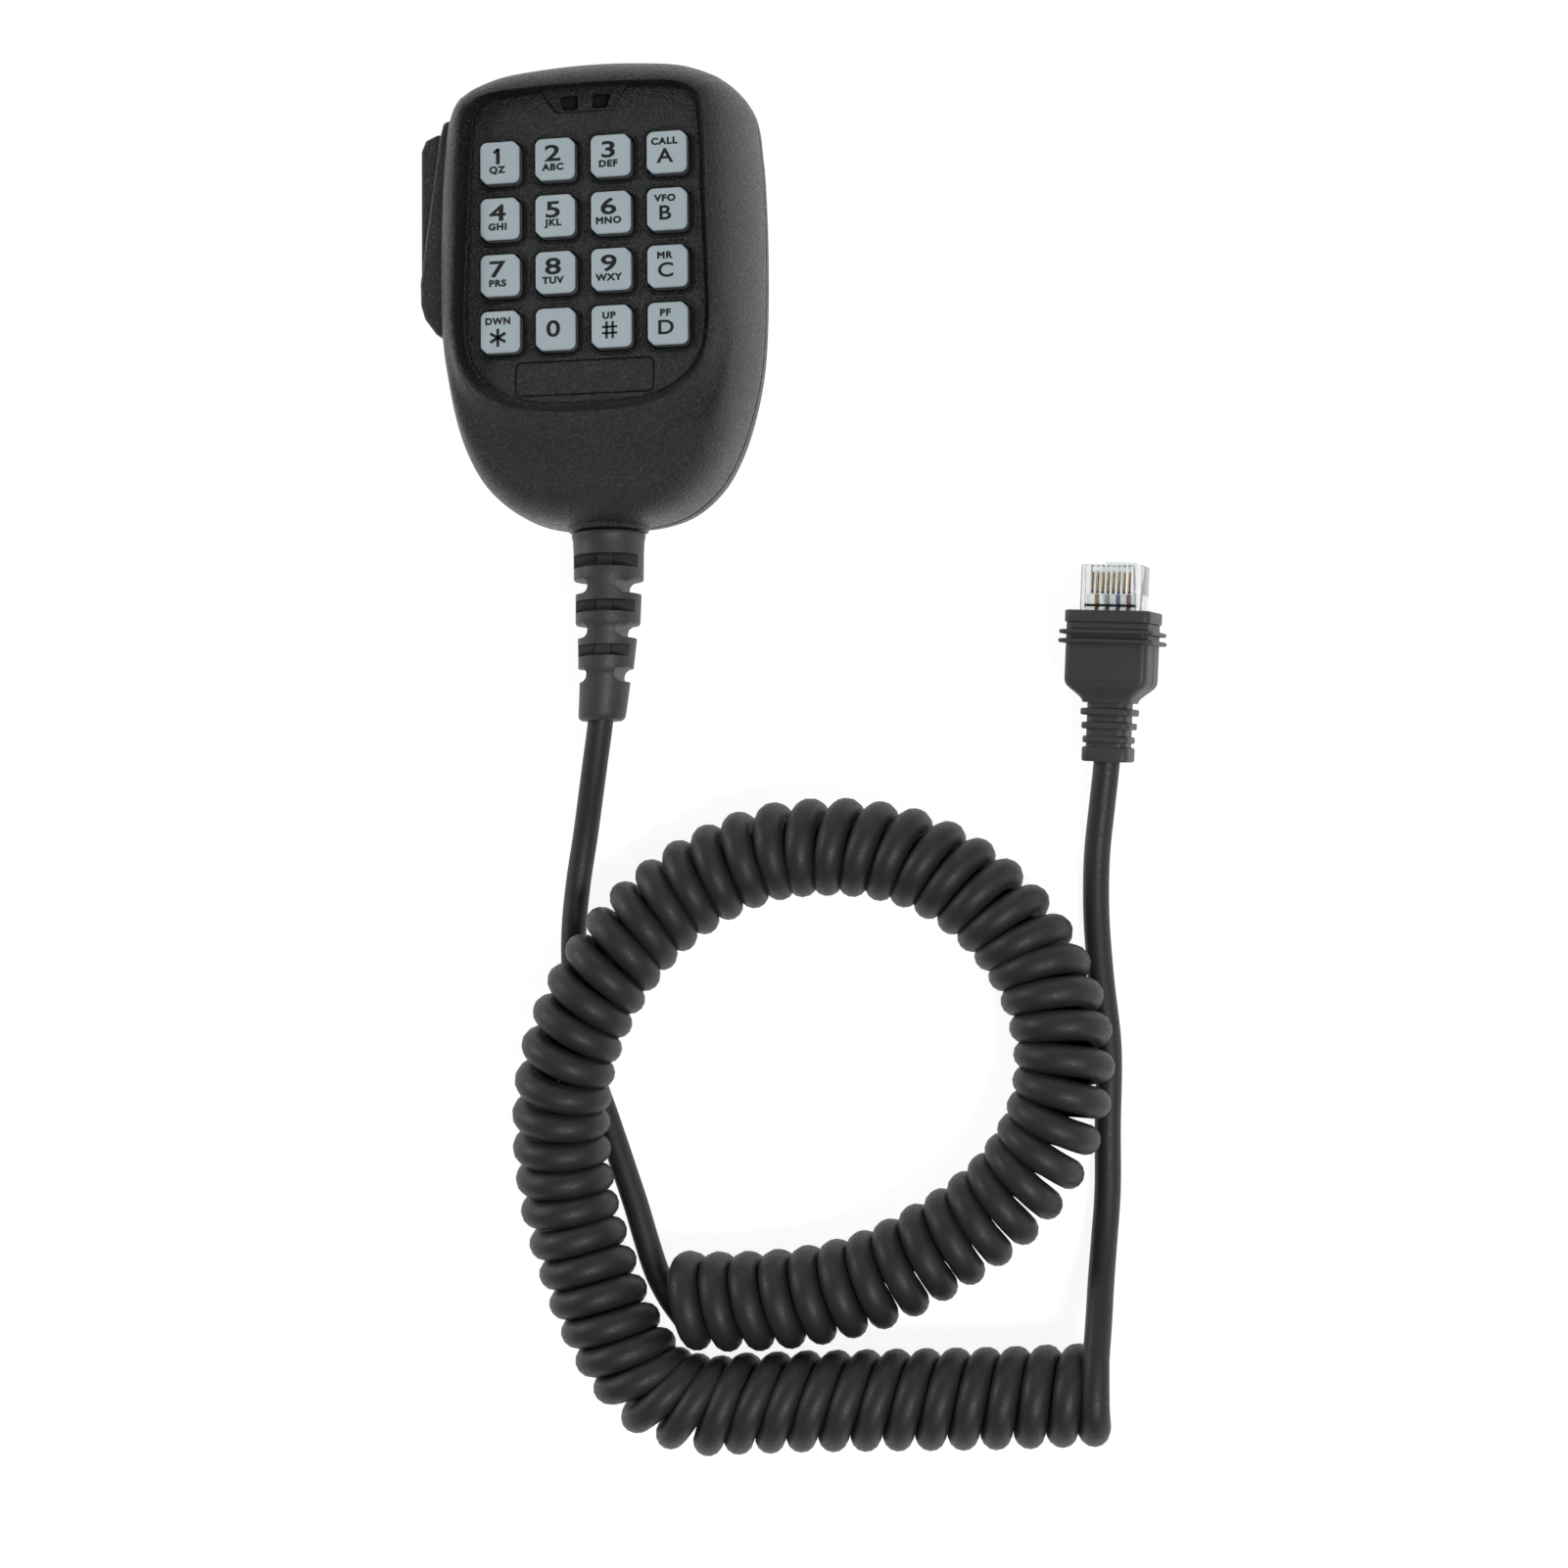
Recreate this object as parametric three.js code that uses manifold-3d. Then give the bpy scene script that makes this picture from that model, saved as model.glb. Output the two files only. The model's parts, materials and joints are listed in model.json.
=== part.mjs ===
// Keypad hand microphone with a curly cord and an eight-contact modular plug.
// Millimetres, +Z up. The microphone lies on the knob on its back, keypad upwards, top end towards +Y.
// The origin is under the middle of the microphone, on the surface that it lies on.
import * as THREE from 'three';
import { mergeVertices } from 'three/addons/utils/BufferGeometryUtils.js';
import Module from 'manifold-3d';

const wasm = await Module();
wasm.setup();

// ---------------------------------------------------------------- driving dimensions
const GAP = 0.3; // clearance between pieces that touch or are cut by each other

// Where the keypad's centre lies, and the levels of the microphone's main planes.
const KEYPAD_X = 1.9;
const KEYPAD_Y = 7.3;
const KEY_TOP_Z = 35.0;
const PANEL_Z = 33.8; // outer face of the recessed keypad panel
const PANEL_UNDER_Z = 31.6;
const PARTING_Z = 15.2; // where the front and rear shells meet
const BACK_Z = 5.0;
const BACK_INSIDE_Z = 7.2;
const WALL = 2.2;

// Rim around the panel: crest height over the key tops, at the sides, the top end and the chin.
const CREST_SIDE = 2.4;
const CREST_TOP = 1.2;
const CREST_CHIN = 0.8;
const CREST_FLAT = 0.5;

// Keys: a four by four grid.
const KEY_PITCH = 10.75;
const KEY_WIDTH = 7.7;
const KEY_HEIGHT = 8.0;
const KEY_TRAVEL = 1.2;
const KEY_BOTTOM_Z = 29.0;
const KEY_FLANGE_TOP_Z = 31.1;
const KEY_FLANGE = 0.3; // how far the flange stands out past the cap
const KEY_EDGE = 0.45; // bevel round the cap's top
const KEY_NAMES = [
  ['key_1', 'key_2', 'key_3', 'key_a'],
  ['key_4', 'key_5', 'key_6', 'key_b'],
  ['key_7', 'key_8', 'key_9', 'key_c'],
  ['key_star', 'key_0', 'key_hash', 'key_d'],
];

// Inner stack under the keys.
const MAT_TOP_Z = KEY_BOTTOM_Z - KEY_TRAVEL - 0.2;
const MAT_THICKNESS = 1.4;
const BOARD_TOP_Z = MAT_TOP_Z - MAT_THICKNESS - GAP;
const BOARD_THICKNESS = 1.6;
const BOARD_BOTTOM_Z = BOARD_TOP_Z - BOARD_THICKNESS;

// Microphone capsule behind the two sound slots.
const CAPSULE_Y = 25.6;
const CAPSULE_RADIUS = 4.85;
const CAPSULE_TOP_Z = 30.6;
const CAPSULE_BOTTOM_Z = BOARD_TOP_Z + 0.4;
const HOLDER_RADIUS = 5.4;
const SLOT_Y = 27.0;
const SLOT_SIZE = [3.4, 2.6];
const SLOT_OFFSET_X = 3.0;

// Push-to-talk lever on the left flank.
const PTT_FACE_X = -34.7;
const PTT_LOW_Z = 17.0;
const PTT_HIGH_Z = 25.8;
const PTT_INNER_X = -28.4;
const PTT_HINGE = [-30.4, -7.0];
const PTT_PIN_RADIUS = 0.8;
const GUARD_LOW_Z = PARTING_Z;
const GUARD_HIGH_Z = 28.4;
const SWITCH_Y = 14.0;
const SWITCH_Z = 21.4;

// Fasteners.
const CASE_SCREWS = [[-21, 25.5], [21, 25.5], [-18.5, -29], [18.5, -29]];
const BOARD_SCREWS = [[-12.2, 24.6], [12.2, 24.6], [0, -27.4]];
const HANGER = [0, 9];
const KNOB_RADIUS = 6.5;

// Neck of the shells and the strain relief that they grip.
const NECK_Z = 16.7;
const NECK_END_Y = -51.9;
const NECK_RADIUS = 7.65;
const NECK_BORE = 5.9;
const NECK_START_Y = -44.5;
const FLANGE_POCKET = { radius: 7.3, lowY: -48.6, highY: -43 }; // holds the strain relief's flange
const RELIEF_LENGTH = 36;
const RELIEF_DROP = 3.5;
const RELIEF_LEAN = 2.5;

// Cord: a straight lead, a curly stretch and a straight tail.
const CORD_DIAMETER = 5.0;
const COIL_DIAMETER = 18.8;

// Plug and boot: a standard eight-position modular plug.
const PLUG_NOSE = [98.4, -53.3, 9.6];
const PLUG_YAW = 3.5;
const PLUG_ROLL = 10.5;
const PLUG_PITCH = 4;
const PLUG_WIDTH = 11.68;
const PLUG_HEIGHT = 6.6;
const PLUG_LENGTH = 21.4;
const CONTACT_PITCH = 1.016;
const BOOT_FRONT = 8.7; // how far behind the plug's nose the boot begins
const BOOT_END = 37;

// ---------------------------------------------------------------- materials
function material(color, roughness, metalness = 0, more = {}) {
  return new THREE.MeshStandardMaterial({ color, roughness, metalness, ...more });
}
const shellBlack = () => material(0x1b1c1d, 0.62);
const rubberBlack = () => material(0x141516, 0.72);
const keyGrey = () => material(0xa8b6be, 0.45);
const siliconeGrey = () => material(0xc9cdcf, 0.7);
const boardGreen = () => material(0x1d5a36, 0.5);
const chipBlack = () => material(0x121212, 0.4);
const whiteNylon = () => material(0xe7e4d8, 0.5);
const feltBlack = () => material(0x0c0c0c, 0.9);
const steel = () => material(0xb4b7ba, 0.35, 1);
const gold = () => material(0xd9b45a, 0.3, 1);
const clearPlastic = () => material(0xe9eff1, 0.1, 0, { transparent: true, opacity: 0.4 });

// ---------------------------------------------------------------- solids
function solidOf(geometry) {
  const bare = geometry.clone();
  bare.deleteAttribute('normal');
  bare.deleteAttribute('uv');
  const merged = mergeVertices(bare, 1e-4);
  const vertProperties = Float32Array.from(merged.getAttribute('position').array);
  const triVerts = Uint32Array.from(merged.getIndex().array);
  return new wasm.Manifold(new wasm.Mesh({ numProp: 3, vertProperties, triVerts }));
}

function geometryOf(solid) {
  const mesh = solid.getMesh();
  const geometry = new THREE.BufferGeometry();
  geometry.setAttribute('position', new THREE.BufferAttribute(Float32Array.from(mesh.vertProperties), 3));
  geometry.setIndex(new THREE.BufferAttribute(Uint32Array.from(mesh.triVerts), 1));
  geometry.computeVertexNormals();
  return geometry;
}

// One geometry: the first list's shapes joined, less the second list's.
function combined(joined, cut = []) {
  let solid = solidOf(joined[0]);
  for (const piece of joined.slice(1)) solid = solid.add(solidOf(piece));
  for (const piece of cut) solid = solid.subtract(solidOf(piece));
  return geometryOf(solid);
}

function box(low, high) {
  const size = high.map((value, axis) => value - low[axis]);
  const geometry = new THREE.BoxGeometry(...size);
  return geometry.translate(low[0] + size[0] / 2, low[1] + size[1] / 2, low[2] + size[2] / 2);
}

function upright(radius, x, y, lowZ, highZ, sides = 20) {
  const geometry = new THREE.CylinderGeometry(radius, radius, highZ - lowZ, sides);
  return geometry.rotateX(Math.PI / 2).translate(x, y, (lowZ + highZ) / 2);
}

// A round bar along Y.
function lengthwise(radius, x, z, lowY, highY, sides = 24) {
  const geometry = new THREE.CylinderGeometry(radius, radius, highY - lowY, sides);
  return geometry.translate(x, (lowY + highY) / 2, z);
}

function prism(points, lowZ, highZ) {
  const shape = new THREE.Shape(points.map(([x, y]) => new THREE.Vector2(x, y)));
  const geometry = new THREE.ExtrudeGeometry(shape, { depth: highZ - lowZ, bevelEnabled: false });
  return geometry.translate(0, 0, lowZ);
}

// Skins closed rings of equal point counts, lowest first, each anticlockwise seen from above.
function loft(rings) {
  const count = rings[0].length;
  const positions = rings.flat(2);
  const index = [];
  for (let level = 0; level + 1 < rings.length; level += 1) {
    for (let i = 0; i < count; i += 1) {
      const a = level * count + i;
      const b = level * count + ((i + 1) % count);
      index.push(a, b, b + count, a, b + count, a + count);
    }
  }
  const cap = (ring, first, upwards) => {
    const middle = positions.length / 3;
    const mean = [0, 1, 2].map((axis) => ring.reduce((sum, point) => sum + point[axis], 0) / count);
    positions.push(...mean);
    for (let i = 0; i < count; i += 1) {
      const a = first + i;
      const b = first + ((i + 1) % count);
      index.push(...(upwards ? [middle, a, b] : [middle, b, a]));
    }
  };
  cap(rings[0], 0, false);
  cap(rings[rings.length - 1], (rings.length - 1) * count, true);
  const geometry = new THREE.BufferGeometry();
  geometry.setAttribute('position', new THREE.Float32BufferAttribute(positions, 3));
  geometry.setIndex(index);
  geometry.computeVertexNormals();
  return geometry;
}

// A turned piece about the Z axis from [radius, height] pairs that start and end on the axis.
function turned(profile, x, y, sides = 16) {
  const points = profile.map(([radius, height]) => new THREE.Vector2(radius, height));
  return new THREE.LatheGeometry(points, sides).rotateX(Math.PI / 2).translate(x, y, 0);
}

// ---------------------------------------------------------------- microphone outlines
// Right halves of three outlines seen from above, top centre to bottom centre, about the keypad's centre.
const PANEL_HALF = [[0, 29.4], [10, 29.2], [17.8, 28.5], [21, 26.8], [22.2, 18], [22.6, 8], [23.2, -6],
  [23.3, -16], [22, -21.8], [19.3, -25.4], [15, -28.2], [9.5, -29.6], [0, -30.1]];
const CREST_HALF = [[0, 30], [10, 29.8], [18.6, 29], [22.9, 27], [24.2, 18], [24.5, 6], [24.8, -6],
  [24.8, -16], [23.6, -23], [20.6, -27.4], [16, -30.4], [10, -32], [0, -32.5]];
const PARTING_HALF = [[0, 38], [9, 37.6], [18, 36.4], [24.2, 33.8], [28.7, 29.2], [30.2, 21], [30.9, 10],
  [31.1, -2], [30.9, -12], [30.2, -21], [28.5, -29.4], [25.7, -37.6], [21.9, -44], [16.2, -48.8],
  [9.6, -50.9], [0, -51.2]];
const FLANK_SLOPE = 0.13;
const SCOOP = 1.3; // depth of the scoop across the chin
const CENTRE_Y = -6; // the outlines are sampled by angle about this point
const SIDES = 60;
const ANGLES = Array.from({ length: SIDES }, (_, i) => (i / SIDES) * 2 * Math.PI);

// Distance from the sampling centre to a mirrored outline, at each of the angles.
function radiiOf(half) {
  const left = half.slice(1, -1).reverse().map(([x, y]) => [-x, y]);
  const points = [...half, ...left].map(([x, y]) => new THREE.Vector3(x, y - CENTRE_Y, 0));
  const dense = new THREE.CatmullRomCurve3(points, true, 'centripetal').getPoints(720);
  const turnOf = (p) => (Math.atan2(p.y, p.x) + 2 * Math.PI) % (2 * Math.PI);
  const polar = dense.map((p) => [turnOf(p), Math.hypot(p.x, p.y)]);
  polar.sort((a, b) => a[0] - b[0]);
  return ANGLES.map((angle) => {
    const next = polar.findIndex(([at]) => at >= angle);
    const high = polar[(next + polar.length) % polar.length];
    const low = polar[(next - 1 + polar.length) % polar.length];
    const span = (high[0] - low[0] + 2 * Math.PI) % (2 * Math.PI);
    const part = span > 0 ? ((angle - low[0] + 2 * Math.PI) % (2 * Math.PI)) / span : 0;
    return low[1] + (high[1] - low[1]) * part;
  });
}
const panelRadii = radiiOf(PANEL_HALF);
const crestRadii = radiiOf(CREST_HALF);
const partingRadii = radiiOf(PARTING_HALF);

// How much each angle belongs to the chin, to its very bottom or to the top end, from 0 to 1.
const chinShare = ANGLES.map((angle) => THREE.MathUtils.smoothstep(-Math.sin(angle), 0.2, 0.8));
const bottomShare = ANGLES.map((angle) => THREE.MathUtils.smoothstep(-Math.sin(angle), 0.5, 1));
const topShare = ANGLES.map((angle) => THREE.MathUtils.smoothstep(Math.sin(angle), 0.45, 0.95));
const crestZ = ANGLES.map((_, i) => {
  const side = CREST_SIDE * (1 - chinShare[i] - topShare[i]);
  return KEY_TOP_Z + side + CREST_CHIN * chinShare[i] + CREST_TOP * topShare[i];
});

function ring(radii, heights) {
  return ANGLES.map((angle, i) => [
    radii[i] * Math.cos(angle), CENTRE_Y + radii[i] * Math.sin(angle),
    typeof heights === 'number' ? heights : heights[i],
  ]);
}

// Rings of a rounded flank that rises from an outer outline to an inner one. Its cross-section is a
// sloping superellipse quarter, squarer at the bottom, with a shallow scoop across the chin.
function flankRings(outer, inner, lowZ, highZ, steps) {
  const rings = [];
  for (let step = 0; step <= steps; step += 1) {
    const turn = (1 - step / steps) * (Math.PI / 2);
    const radii = [];
    const heights = [];
    ANGLES.forEach((_, i) => {
      const power = 2 / (2 + 2.2 * bottomShare[i]);
      const ridge = 0.62 + 0.24 * bottomShare[i];
      const out = Math.sin(turn) ** power;
      const down = FLANK_SLOPE * out + (1 - FLANK_SLOPE) * (1 - Math.max(Math.cos(turn), 0) ** power);
      const dip = SCOOP * chinShare[i] * Math.sin(Math.PI * Math.min(out / ridge, 1)) ** 2;
      const top = typeof highZ === 'number' ? highZ : highZ[i];
      radii.push(inner[i] + (outer[i] - inner[i]) * out);
      heights.push(top - (top - lowZ) * down - dip);
    });
    rings.push(ring(radii, heights));
  }
  return rings;
}

const less = (radii, amount) => radii.map((radius) => radius - amount);

// ---------------------------------------------------------------- keys
// A key's outline: two rounded corners, and two cut ones at the top right and the bottom left.
function keyOutline(grow) {
  const x = KEY_WIDTH / 2 + grow;
  const y = KEY_HEIGHT / 2 + grow;
  const corner = (cx, cy, radius, from) => [0, 1, 2].map((k) => {
    const angle = from + (k * Math.PI) / 4;
    return [cx + radius * Math.cos(angle), cy + radius * Math.sin(angle)];
  });
  const round = 1.3;
  const cut = 1.7;
  return [
    [x, y - cut], [x - 0.25, y - cut + 0.45], [x - cut + 0.45, y - 0.25], [x - cut, y],
    ...corner(-x + round, y - round, round, Math.PI / 2),
    [-x, -y + cut], [-x + 0.25, -y + cut - 0.45], [-x + cut - 0.45, -y + 0.25], [-x + cut, -y],
    ...corner(x - round, -y + round, round, -Math.PI / 2),
  ];
}

const raised = (outline, z) => outline.map(([x, y]) => [x, y, z]);

function keyCap() {
  return loft([
    raised(keyOutline(KEY_FLANGE), KEY_BOTTOM_Z),
    raised(keyOutline(KEY_FLANGE), KEY_FLANGE_TOP_Z),
    raised(keyOutline(0), KEY_FLANGE_TOP_Z),
    raised(keyOutline(0), KEY_TOP_Z - KEY_EDGE),
    raised(keyOutline(-KEY_EDGE), KEY_TOP_Z),
  ]);
}

const keyPlaces = KEY_NAMES.flatMap((row, r) => row.map((name, c) => ({
  name, x: (c - 1.5) * KEY_PITCH, y: (1.5 - r) * KEY_PITCH,
})));

// ---------------------------------------------------------------- front shell
// What is bored out of both shells' necks.
function neckBores() {
  const { radius, lowY, highY } = FLANGE_POCKET;
  return [
    lengthwise(NECK_BORE, 0, NECK_Z, NECK_END_Y - 1, -40),
    lengthwise(radius, 0, NECK_Z, lowY, highY),
  ];
}

const BADGE = { low: [-13.3, -28.2], high: [13, -22.1], depth: 0.5 };
const BADGE_GROOVE = 0.3;
const OPENING_LOW_Z = PTT_LOW_Z - GAP;
const OPENING_HIGH_Z = PTT_HIGH_Z + GAP;
const OPENING_LOW_Y = -10.4;
const OPENING_HIGH_Y = 26.2;
const GUARD_OUTLINE = [[-26.8, 27.4], [-29.4, 26.8], [-30.3, 23.4], [-34.1, -4.3], [-34.0, -8.5],
  [-33.2, -11.2], [-30.8, -14.4], [-26.8, -15.6]];
const SOUND_RECESS = [[-8.8, 30.2], [-5.2, 25.5], [5.2, 25.5], [8.8, 30.2]];
const DUST_SCREEN = { low: [-6, SLOT_Y - 2.2, 31.0], high: [6, SLOT_Y + 2.2, 31.35] };

const CASE_POST = { radius: 3, bore: 1.4, lowZ: PARTING_Z, boreTopZ: 24 };
const BOARD_POST = { radius: 2.2, bore: 1.0, lowZ: BOARD_TOP_Z + GAP, boreTopZ: 30.4 };

// A post under the panel and the blind bore for its screw.
function screwPost([x, y], { radius, bore, lowZ, boreTopZ }) {
  return {
    post: upright(radius, x, y, lowZ, PANEL_UNDER_Z + 0.6),
    bore: upright(bore, x, y, lowZ - 1, boreTopZ, 14),
  };
}

function badgePlate() {
  return box([...BADGE.low, PANEL_Z - BADGE.depth + 0.15], [...BADGE.high, PANEL_Z]);
}

function frontShell() {
  const crown = less(crestRadii, CREST_FLAT);
  const outer = loft([
    ...flankRings(partingRadii, crestRadii, PARTING_Z, crestZ, 6),
    ring(crown, crestZ), ring(panelRadii, PANEL_Z),
  ]);
  const cavityLow = less(partingRadii, WALL);
  const hollow = loft([
    ring(cavityLow, PARTING_Z - 1),
    ...flankRings(cavityLow, less(crestRadii, 0.2), PARTING_Z, PANEL_UNDER_Z, 4),
  ]);
  const posts = [
    ...CASE_SCREWS.map((place) => screwPost(place, CASE_POST)),
    ...BOARD_SCREWS.map((place) => screwPost(place, BOARD_POST)),
  ];
  const neck = lengthwise(NECK_RADIUS, 0, NECK_Z, NECK_END_Y, NECK_START_Y);
  const belowParting = box([-20, -60, 0], [20, -30, PARTING_Z]);
  const guard = prism(GUARD_OUTLINE.slice().reverse(), GUARD_LOW_Z, GUARD_HIGH_Z);
  const keyHoles = keyPlaces.map(({ x, y }) => (
    prism(keyOutline(0.35), PANEL_UNDER_Z - 2, PANEL_Z + 2).translate(x, y, 0)));
  const slots = [-SLOT_OFFSET_X, SLOT_OFFSET_X].map((x) => box(
    [x - SLOT_SIZE[0] / 2, SLOT_Y - SLOT_SIZE[1] / 2, PANEL_UNDER_Z - 2],
    [x + SLOT_SIZE[0] / 2, SLOT_Y + SLOT_SIZE[1] / 2, PANEL_Z + 2]));
  const cuts = [
    ...keyHoles, ...slots,
    prism(SOUND_RECESS.slice().reverse(), PANEL_Z - 0.5, PANEL_Z + 0.8),
    box([BADGE.low[0] - BADGE_GROOVE, BADGE.low[1] - BADGE_GROOVE, PANEL_Z - BADGE.depth],
      [BADGE.high[0] + BADGE_GROOVE, BADGE.high[1] + BADGE_GROOVE, PANEL_Z + 1]),
    box([-37, OPENING_LOW_Y, OPENING_LOW_Z], [-26.4, OPENING_HIGH_Y, OPENING_HIGH_Z]),
    upright(PTT_PIN_RADIUS + GAP, ...PTT_HINGE, GUARD_LOW_Z + 0.4, GUARD_HIGH_Z - 0.3, 14),
    ...posts.map(({ bore }) => bore),
    ...neckBores(),
  ];
  let solid = solidOf(outer).add(solidOf(guard)).subtract(solidOf(hollow));
  solid = solid.add(solidOf(neck).subtract(solidOf(belowParting)));
  for (const { post } of posts) solid = solid.add(solidOf(post));
  for (const cut of cuts) solid = solid.subtract(solidOf(cut));
  return geometryOf(solid);
}

// ---------------------------------------------------------------- rear shell
const REAR_BOSS_RADIUS = 3.6;
const SCREW_HEAD_HOLE = { radius: 2.8, topZ: 7.9 };
const HANGER_SCREW_HOLE = 1.6;
// Inset and height of each ring, back face first.
const REAR_STEPS = [[7, BACK_Z], [4, 5.5], [1.9, 7], [0.7, 9.4], [0.15, 12.4], [0, PARTING_Z - GAP]];

function rearShell() {
  const outer = loft(REAR_STEPS.map(([inset, z]) => ring(less(partingRadii, inset), z)));
  const hollow = loft([
    ring(less(partingRadii, 8), BACK_INSIDE_Z),
    ring(less(partingRadii, 4.4), 9),
    ring(less(partingRadii, WALL + 0.3), 12.6),
    ring(less(partingRadii, WALL), PARTING_Z + 1),
  ]);
  const top = PARTING_Z - GAP;
  const bosses = CASE_SCREWS.map(([x, y]) => upright(REAR_BOSS_RADIUS, x, y, BACK_Z + 0.4, top));
  const neck = lengthwise(NECK_RADIUS, 0, NECK_Z, NECK_END_Y, NECK_START_Y);
  const aboveParting = box([-20, -60, top], [20, -30, 40]);
  const cuts = [
    ...CASE_SCREWS.map(([x, y]) => (
      upright(SCREW_HEAD_HOLE.radius, x, y, BACK_Z - 1, SCREW_HEAD_HOLE.topZ, 18))),
    ...CASE_SCREWS.map(([x, y]) => upright(CASE_POST.bore, x, y, BACK_INSIDE_Z, top + 1, 14)),
    upright(HANGER_SCREW_HOLE, ...HANGER, BACK_Z - 1, BACK_INSIDE_Z + 1, 14),
    ...neckBores(),
  ];
  let solid = solidOf(outer).subtract(solidOf(hollow));
  solid = solid.add(solidOf(neck).subtract(solidOf(aboveParting)));
  for (const boss of bosses) solid = solid.add(solidOf(boss));
  for (const cut of cuts) solid = solid.subtract(solidOf(cut));
  return geometryOf(solid);
}

// ---------------------------------------------------------------- push-to-talk
function pttButton() {
  const outline = [[PTT_INNER_X, -9.6], [PTT_INNER_X, 25.3], [-32.2, 25.3], [-33.9, 24.4],
    [PTT_FACE_X, 22.6], [PTT_FACE_X, -3.3], [-33.9, -7.5], [-32.6, -9.6]];
  const lever = prism(outline, PTT_LOW_Z, PTT_HIGH_Z);
  const pocket = (lowY, highY) => box(
    [-32.8, lowY, PTT_LOW_Z + 1.6], [PTT_INNER_X + 1, highY, PTT_HIGH_Z - 1.6]);
  const bore = upright(PTT_PIN_RADIUS + GAP, ...PTT_HINGE, PTT_LOW_Z - 1, PTT_HIGH_Z + 1, 14);
  return combined([lever], [pocket(-3.2, SWITCH_Y - 1.5), pocket(SWITCH_Y + 1.5, 23.4), bore]);
}

function hingePin() {
  return upright(PTT_PIN_RADIUS, ...PTT_HINGE, GUARD_LOW_Z + 0.7, GUARD_HIGH_Z - 0.6, 12);
}

const PLUNGER = { tip: -28.0, end: -24.0, half: 1.5 };
const SWITCH_BOX = {
  low: [-25.6, SWITCH_Y - 3.5, 18.8],
  high: [-18.6, SWITCH_Y + 3.5, BOARD_BOTTOM_Z - GAP],
};

function pttSwitch() {
  const half = PLUNGER.half + GAP;
  const pocket = box([-27, SWITCH_Y - half, SWITCH_Z - half], [-22.2, SWITCH_Y + half, SWITCH_Z + half]);
  return combined([box(SWITCH_BOX.low, SWITCH_BOX.high)], [pocket]);
}

function pttPlunger() {
  const { tip, end, half } = PLUNGER;
  return box([tip, SWITCH_Y - half, SWITCH_Z - half], [end, SWITCH_Y + half, SWITCH_Z + half]);
}

// ---------------------------------------------------------------- board and what is on it
const BOARD_HALF_WIDTH = 20.2;
const BOARD_OUTLINE = [[-BOARD_HALF_WIDTH, -24.5], [-14.6, -24.5], [-14.6, -31], [14.6, -31], [14.6, -24.5],
  [BOARD_HALF_WIDTH, -24.5], [BOARD_HALF_WIDTH, 21.2], [16.6, 21.2], [16.6, 27], [-16.6, 27],
  [-16.6, 21.2], [-BOARD_HALF_WIDTH, 21.2]];

const TONE_CHIP = { low: [-1, -3, BOARD_BOTTOM_Z - 2.1], high: [9, 4.5, BOARD_BOTTOM_Z - GAP] };
const CORD_HEADER = { low: [-6, -23, 18.6], high: [6, -18, BOARD_BOTTOM_Z - GAP] };

function circuitBoard() {
  const holes = BOARD_SCREWS.map(([x, y]) => upright(1.1, x, y, BOARD_BOTTOM_Z - 1, BOARD_TOP_Z + 1, 14));
  return combined([prism(BOARD_OUTLINE, BOARD_BOTTOM_Z, BOARD_TOP_Z)], holes);
}

const DOME_RADIUS = 2.6;

// A sheet with a dome under each key.
function keypadMat() {
  const half = 1.5 * KEY_PITCH + 4;
  const sheet = box([-half, -half, MAT_TOP_Z - MAT_THICKNESS], [half, half, MAT_TOP_Z - 0.6]);
  const domes = keyPlaces.map(({ x, y }) => upright(DOME_RADIUS, x, y, MAT_TOP_Z - 1, MAT_TOP_Z, 12));
  return combined([sheet, ...domes]);
}

function boardScrew(x, y) {
  const head = BOARD_BOTTOM_Z - GAP;
  const profile = [[0, head - 1.3], [1.9, head - 1.3], [1.9, head], [0.7, head], [0.7, 29.8], [0, 29.8]];
  return turned(profile, x, y, 12);
}

function caseScrew(x, y) {
  return turned([[0, 5.7], [2.3, 5.7], [2.3, 7.6], [1.1, 7.6], [1.1, 22], [0, 22.6]], x, y, 14);
}

function capsuleHolder() {
  const ringOuter = upright(HOLDER_RADIUS, 0, CAPSULE_Y, CAPSULE_BOTTOM_Z, CAPSULE_TOP_Z, 24);
  const inside = upright(CAPSULE_RADIUS + 0.2, 0, CAPSULE_Y, CAPSULE_BOTTOM_Z - 1, CAPSULE_TOP_Z + 1, 24);
  const flat = box([-8, CAPSULE_Y - 8, 20], [8, CAPSULE_Y - 5.0, 40]);
  return combined([ringOuter], [inside, flat]);
}

function hangerKnob() {
  const body = turned([[0, 0], [KNOB_RADIUS - 0.6, 0], [KNOB_RADIUS, 0.6], [KNOB_RADIUS, 1.8],
    [KNOB_RADIUS - 0.5, 2.3], [4, 2.3], [4, BACK_Z - GAP], [0, BACK_Z - GAP]], ...HANGER, 28);
  return combined([body], [upright(HANGER_SCREW_HOLE, ...HANGER, 1.4, BACK_Z + 1, 14)]);
}

function hangerScrew() {
  const under = BACK_INSIDE_Z + GAP;
  return turned([[0, 1.8], [1.3, 1.8], [1.3, under], [2.7, under], [2.7, under + 1.7], [0, under + 1.7]],
    ...HANGER, 14);
}

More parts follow.
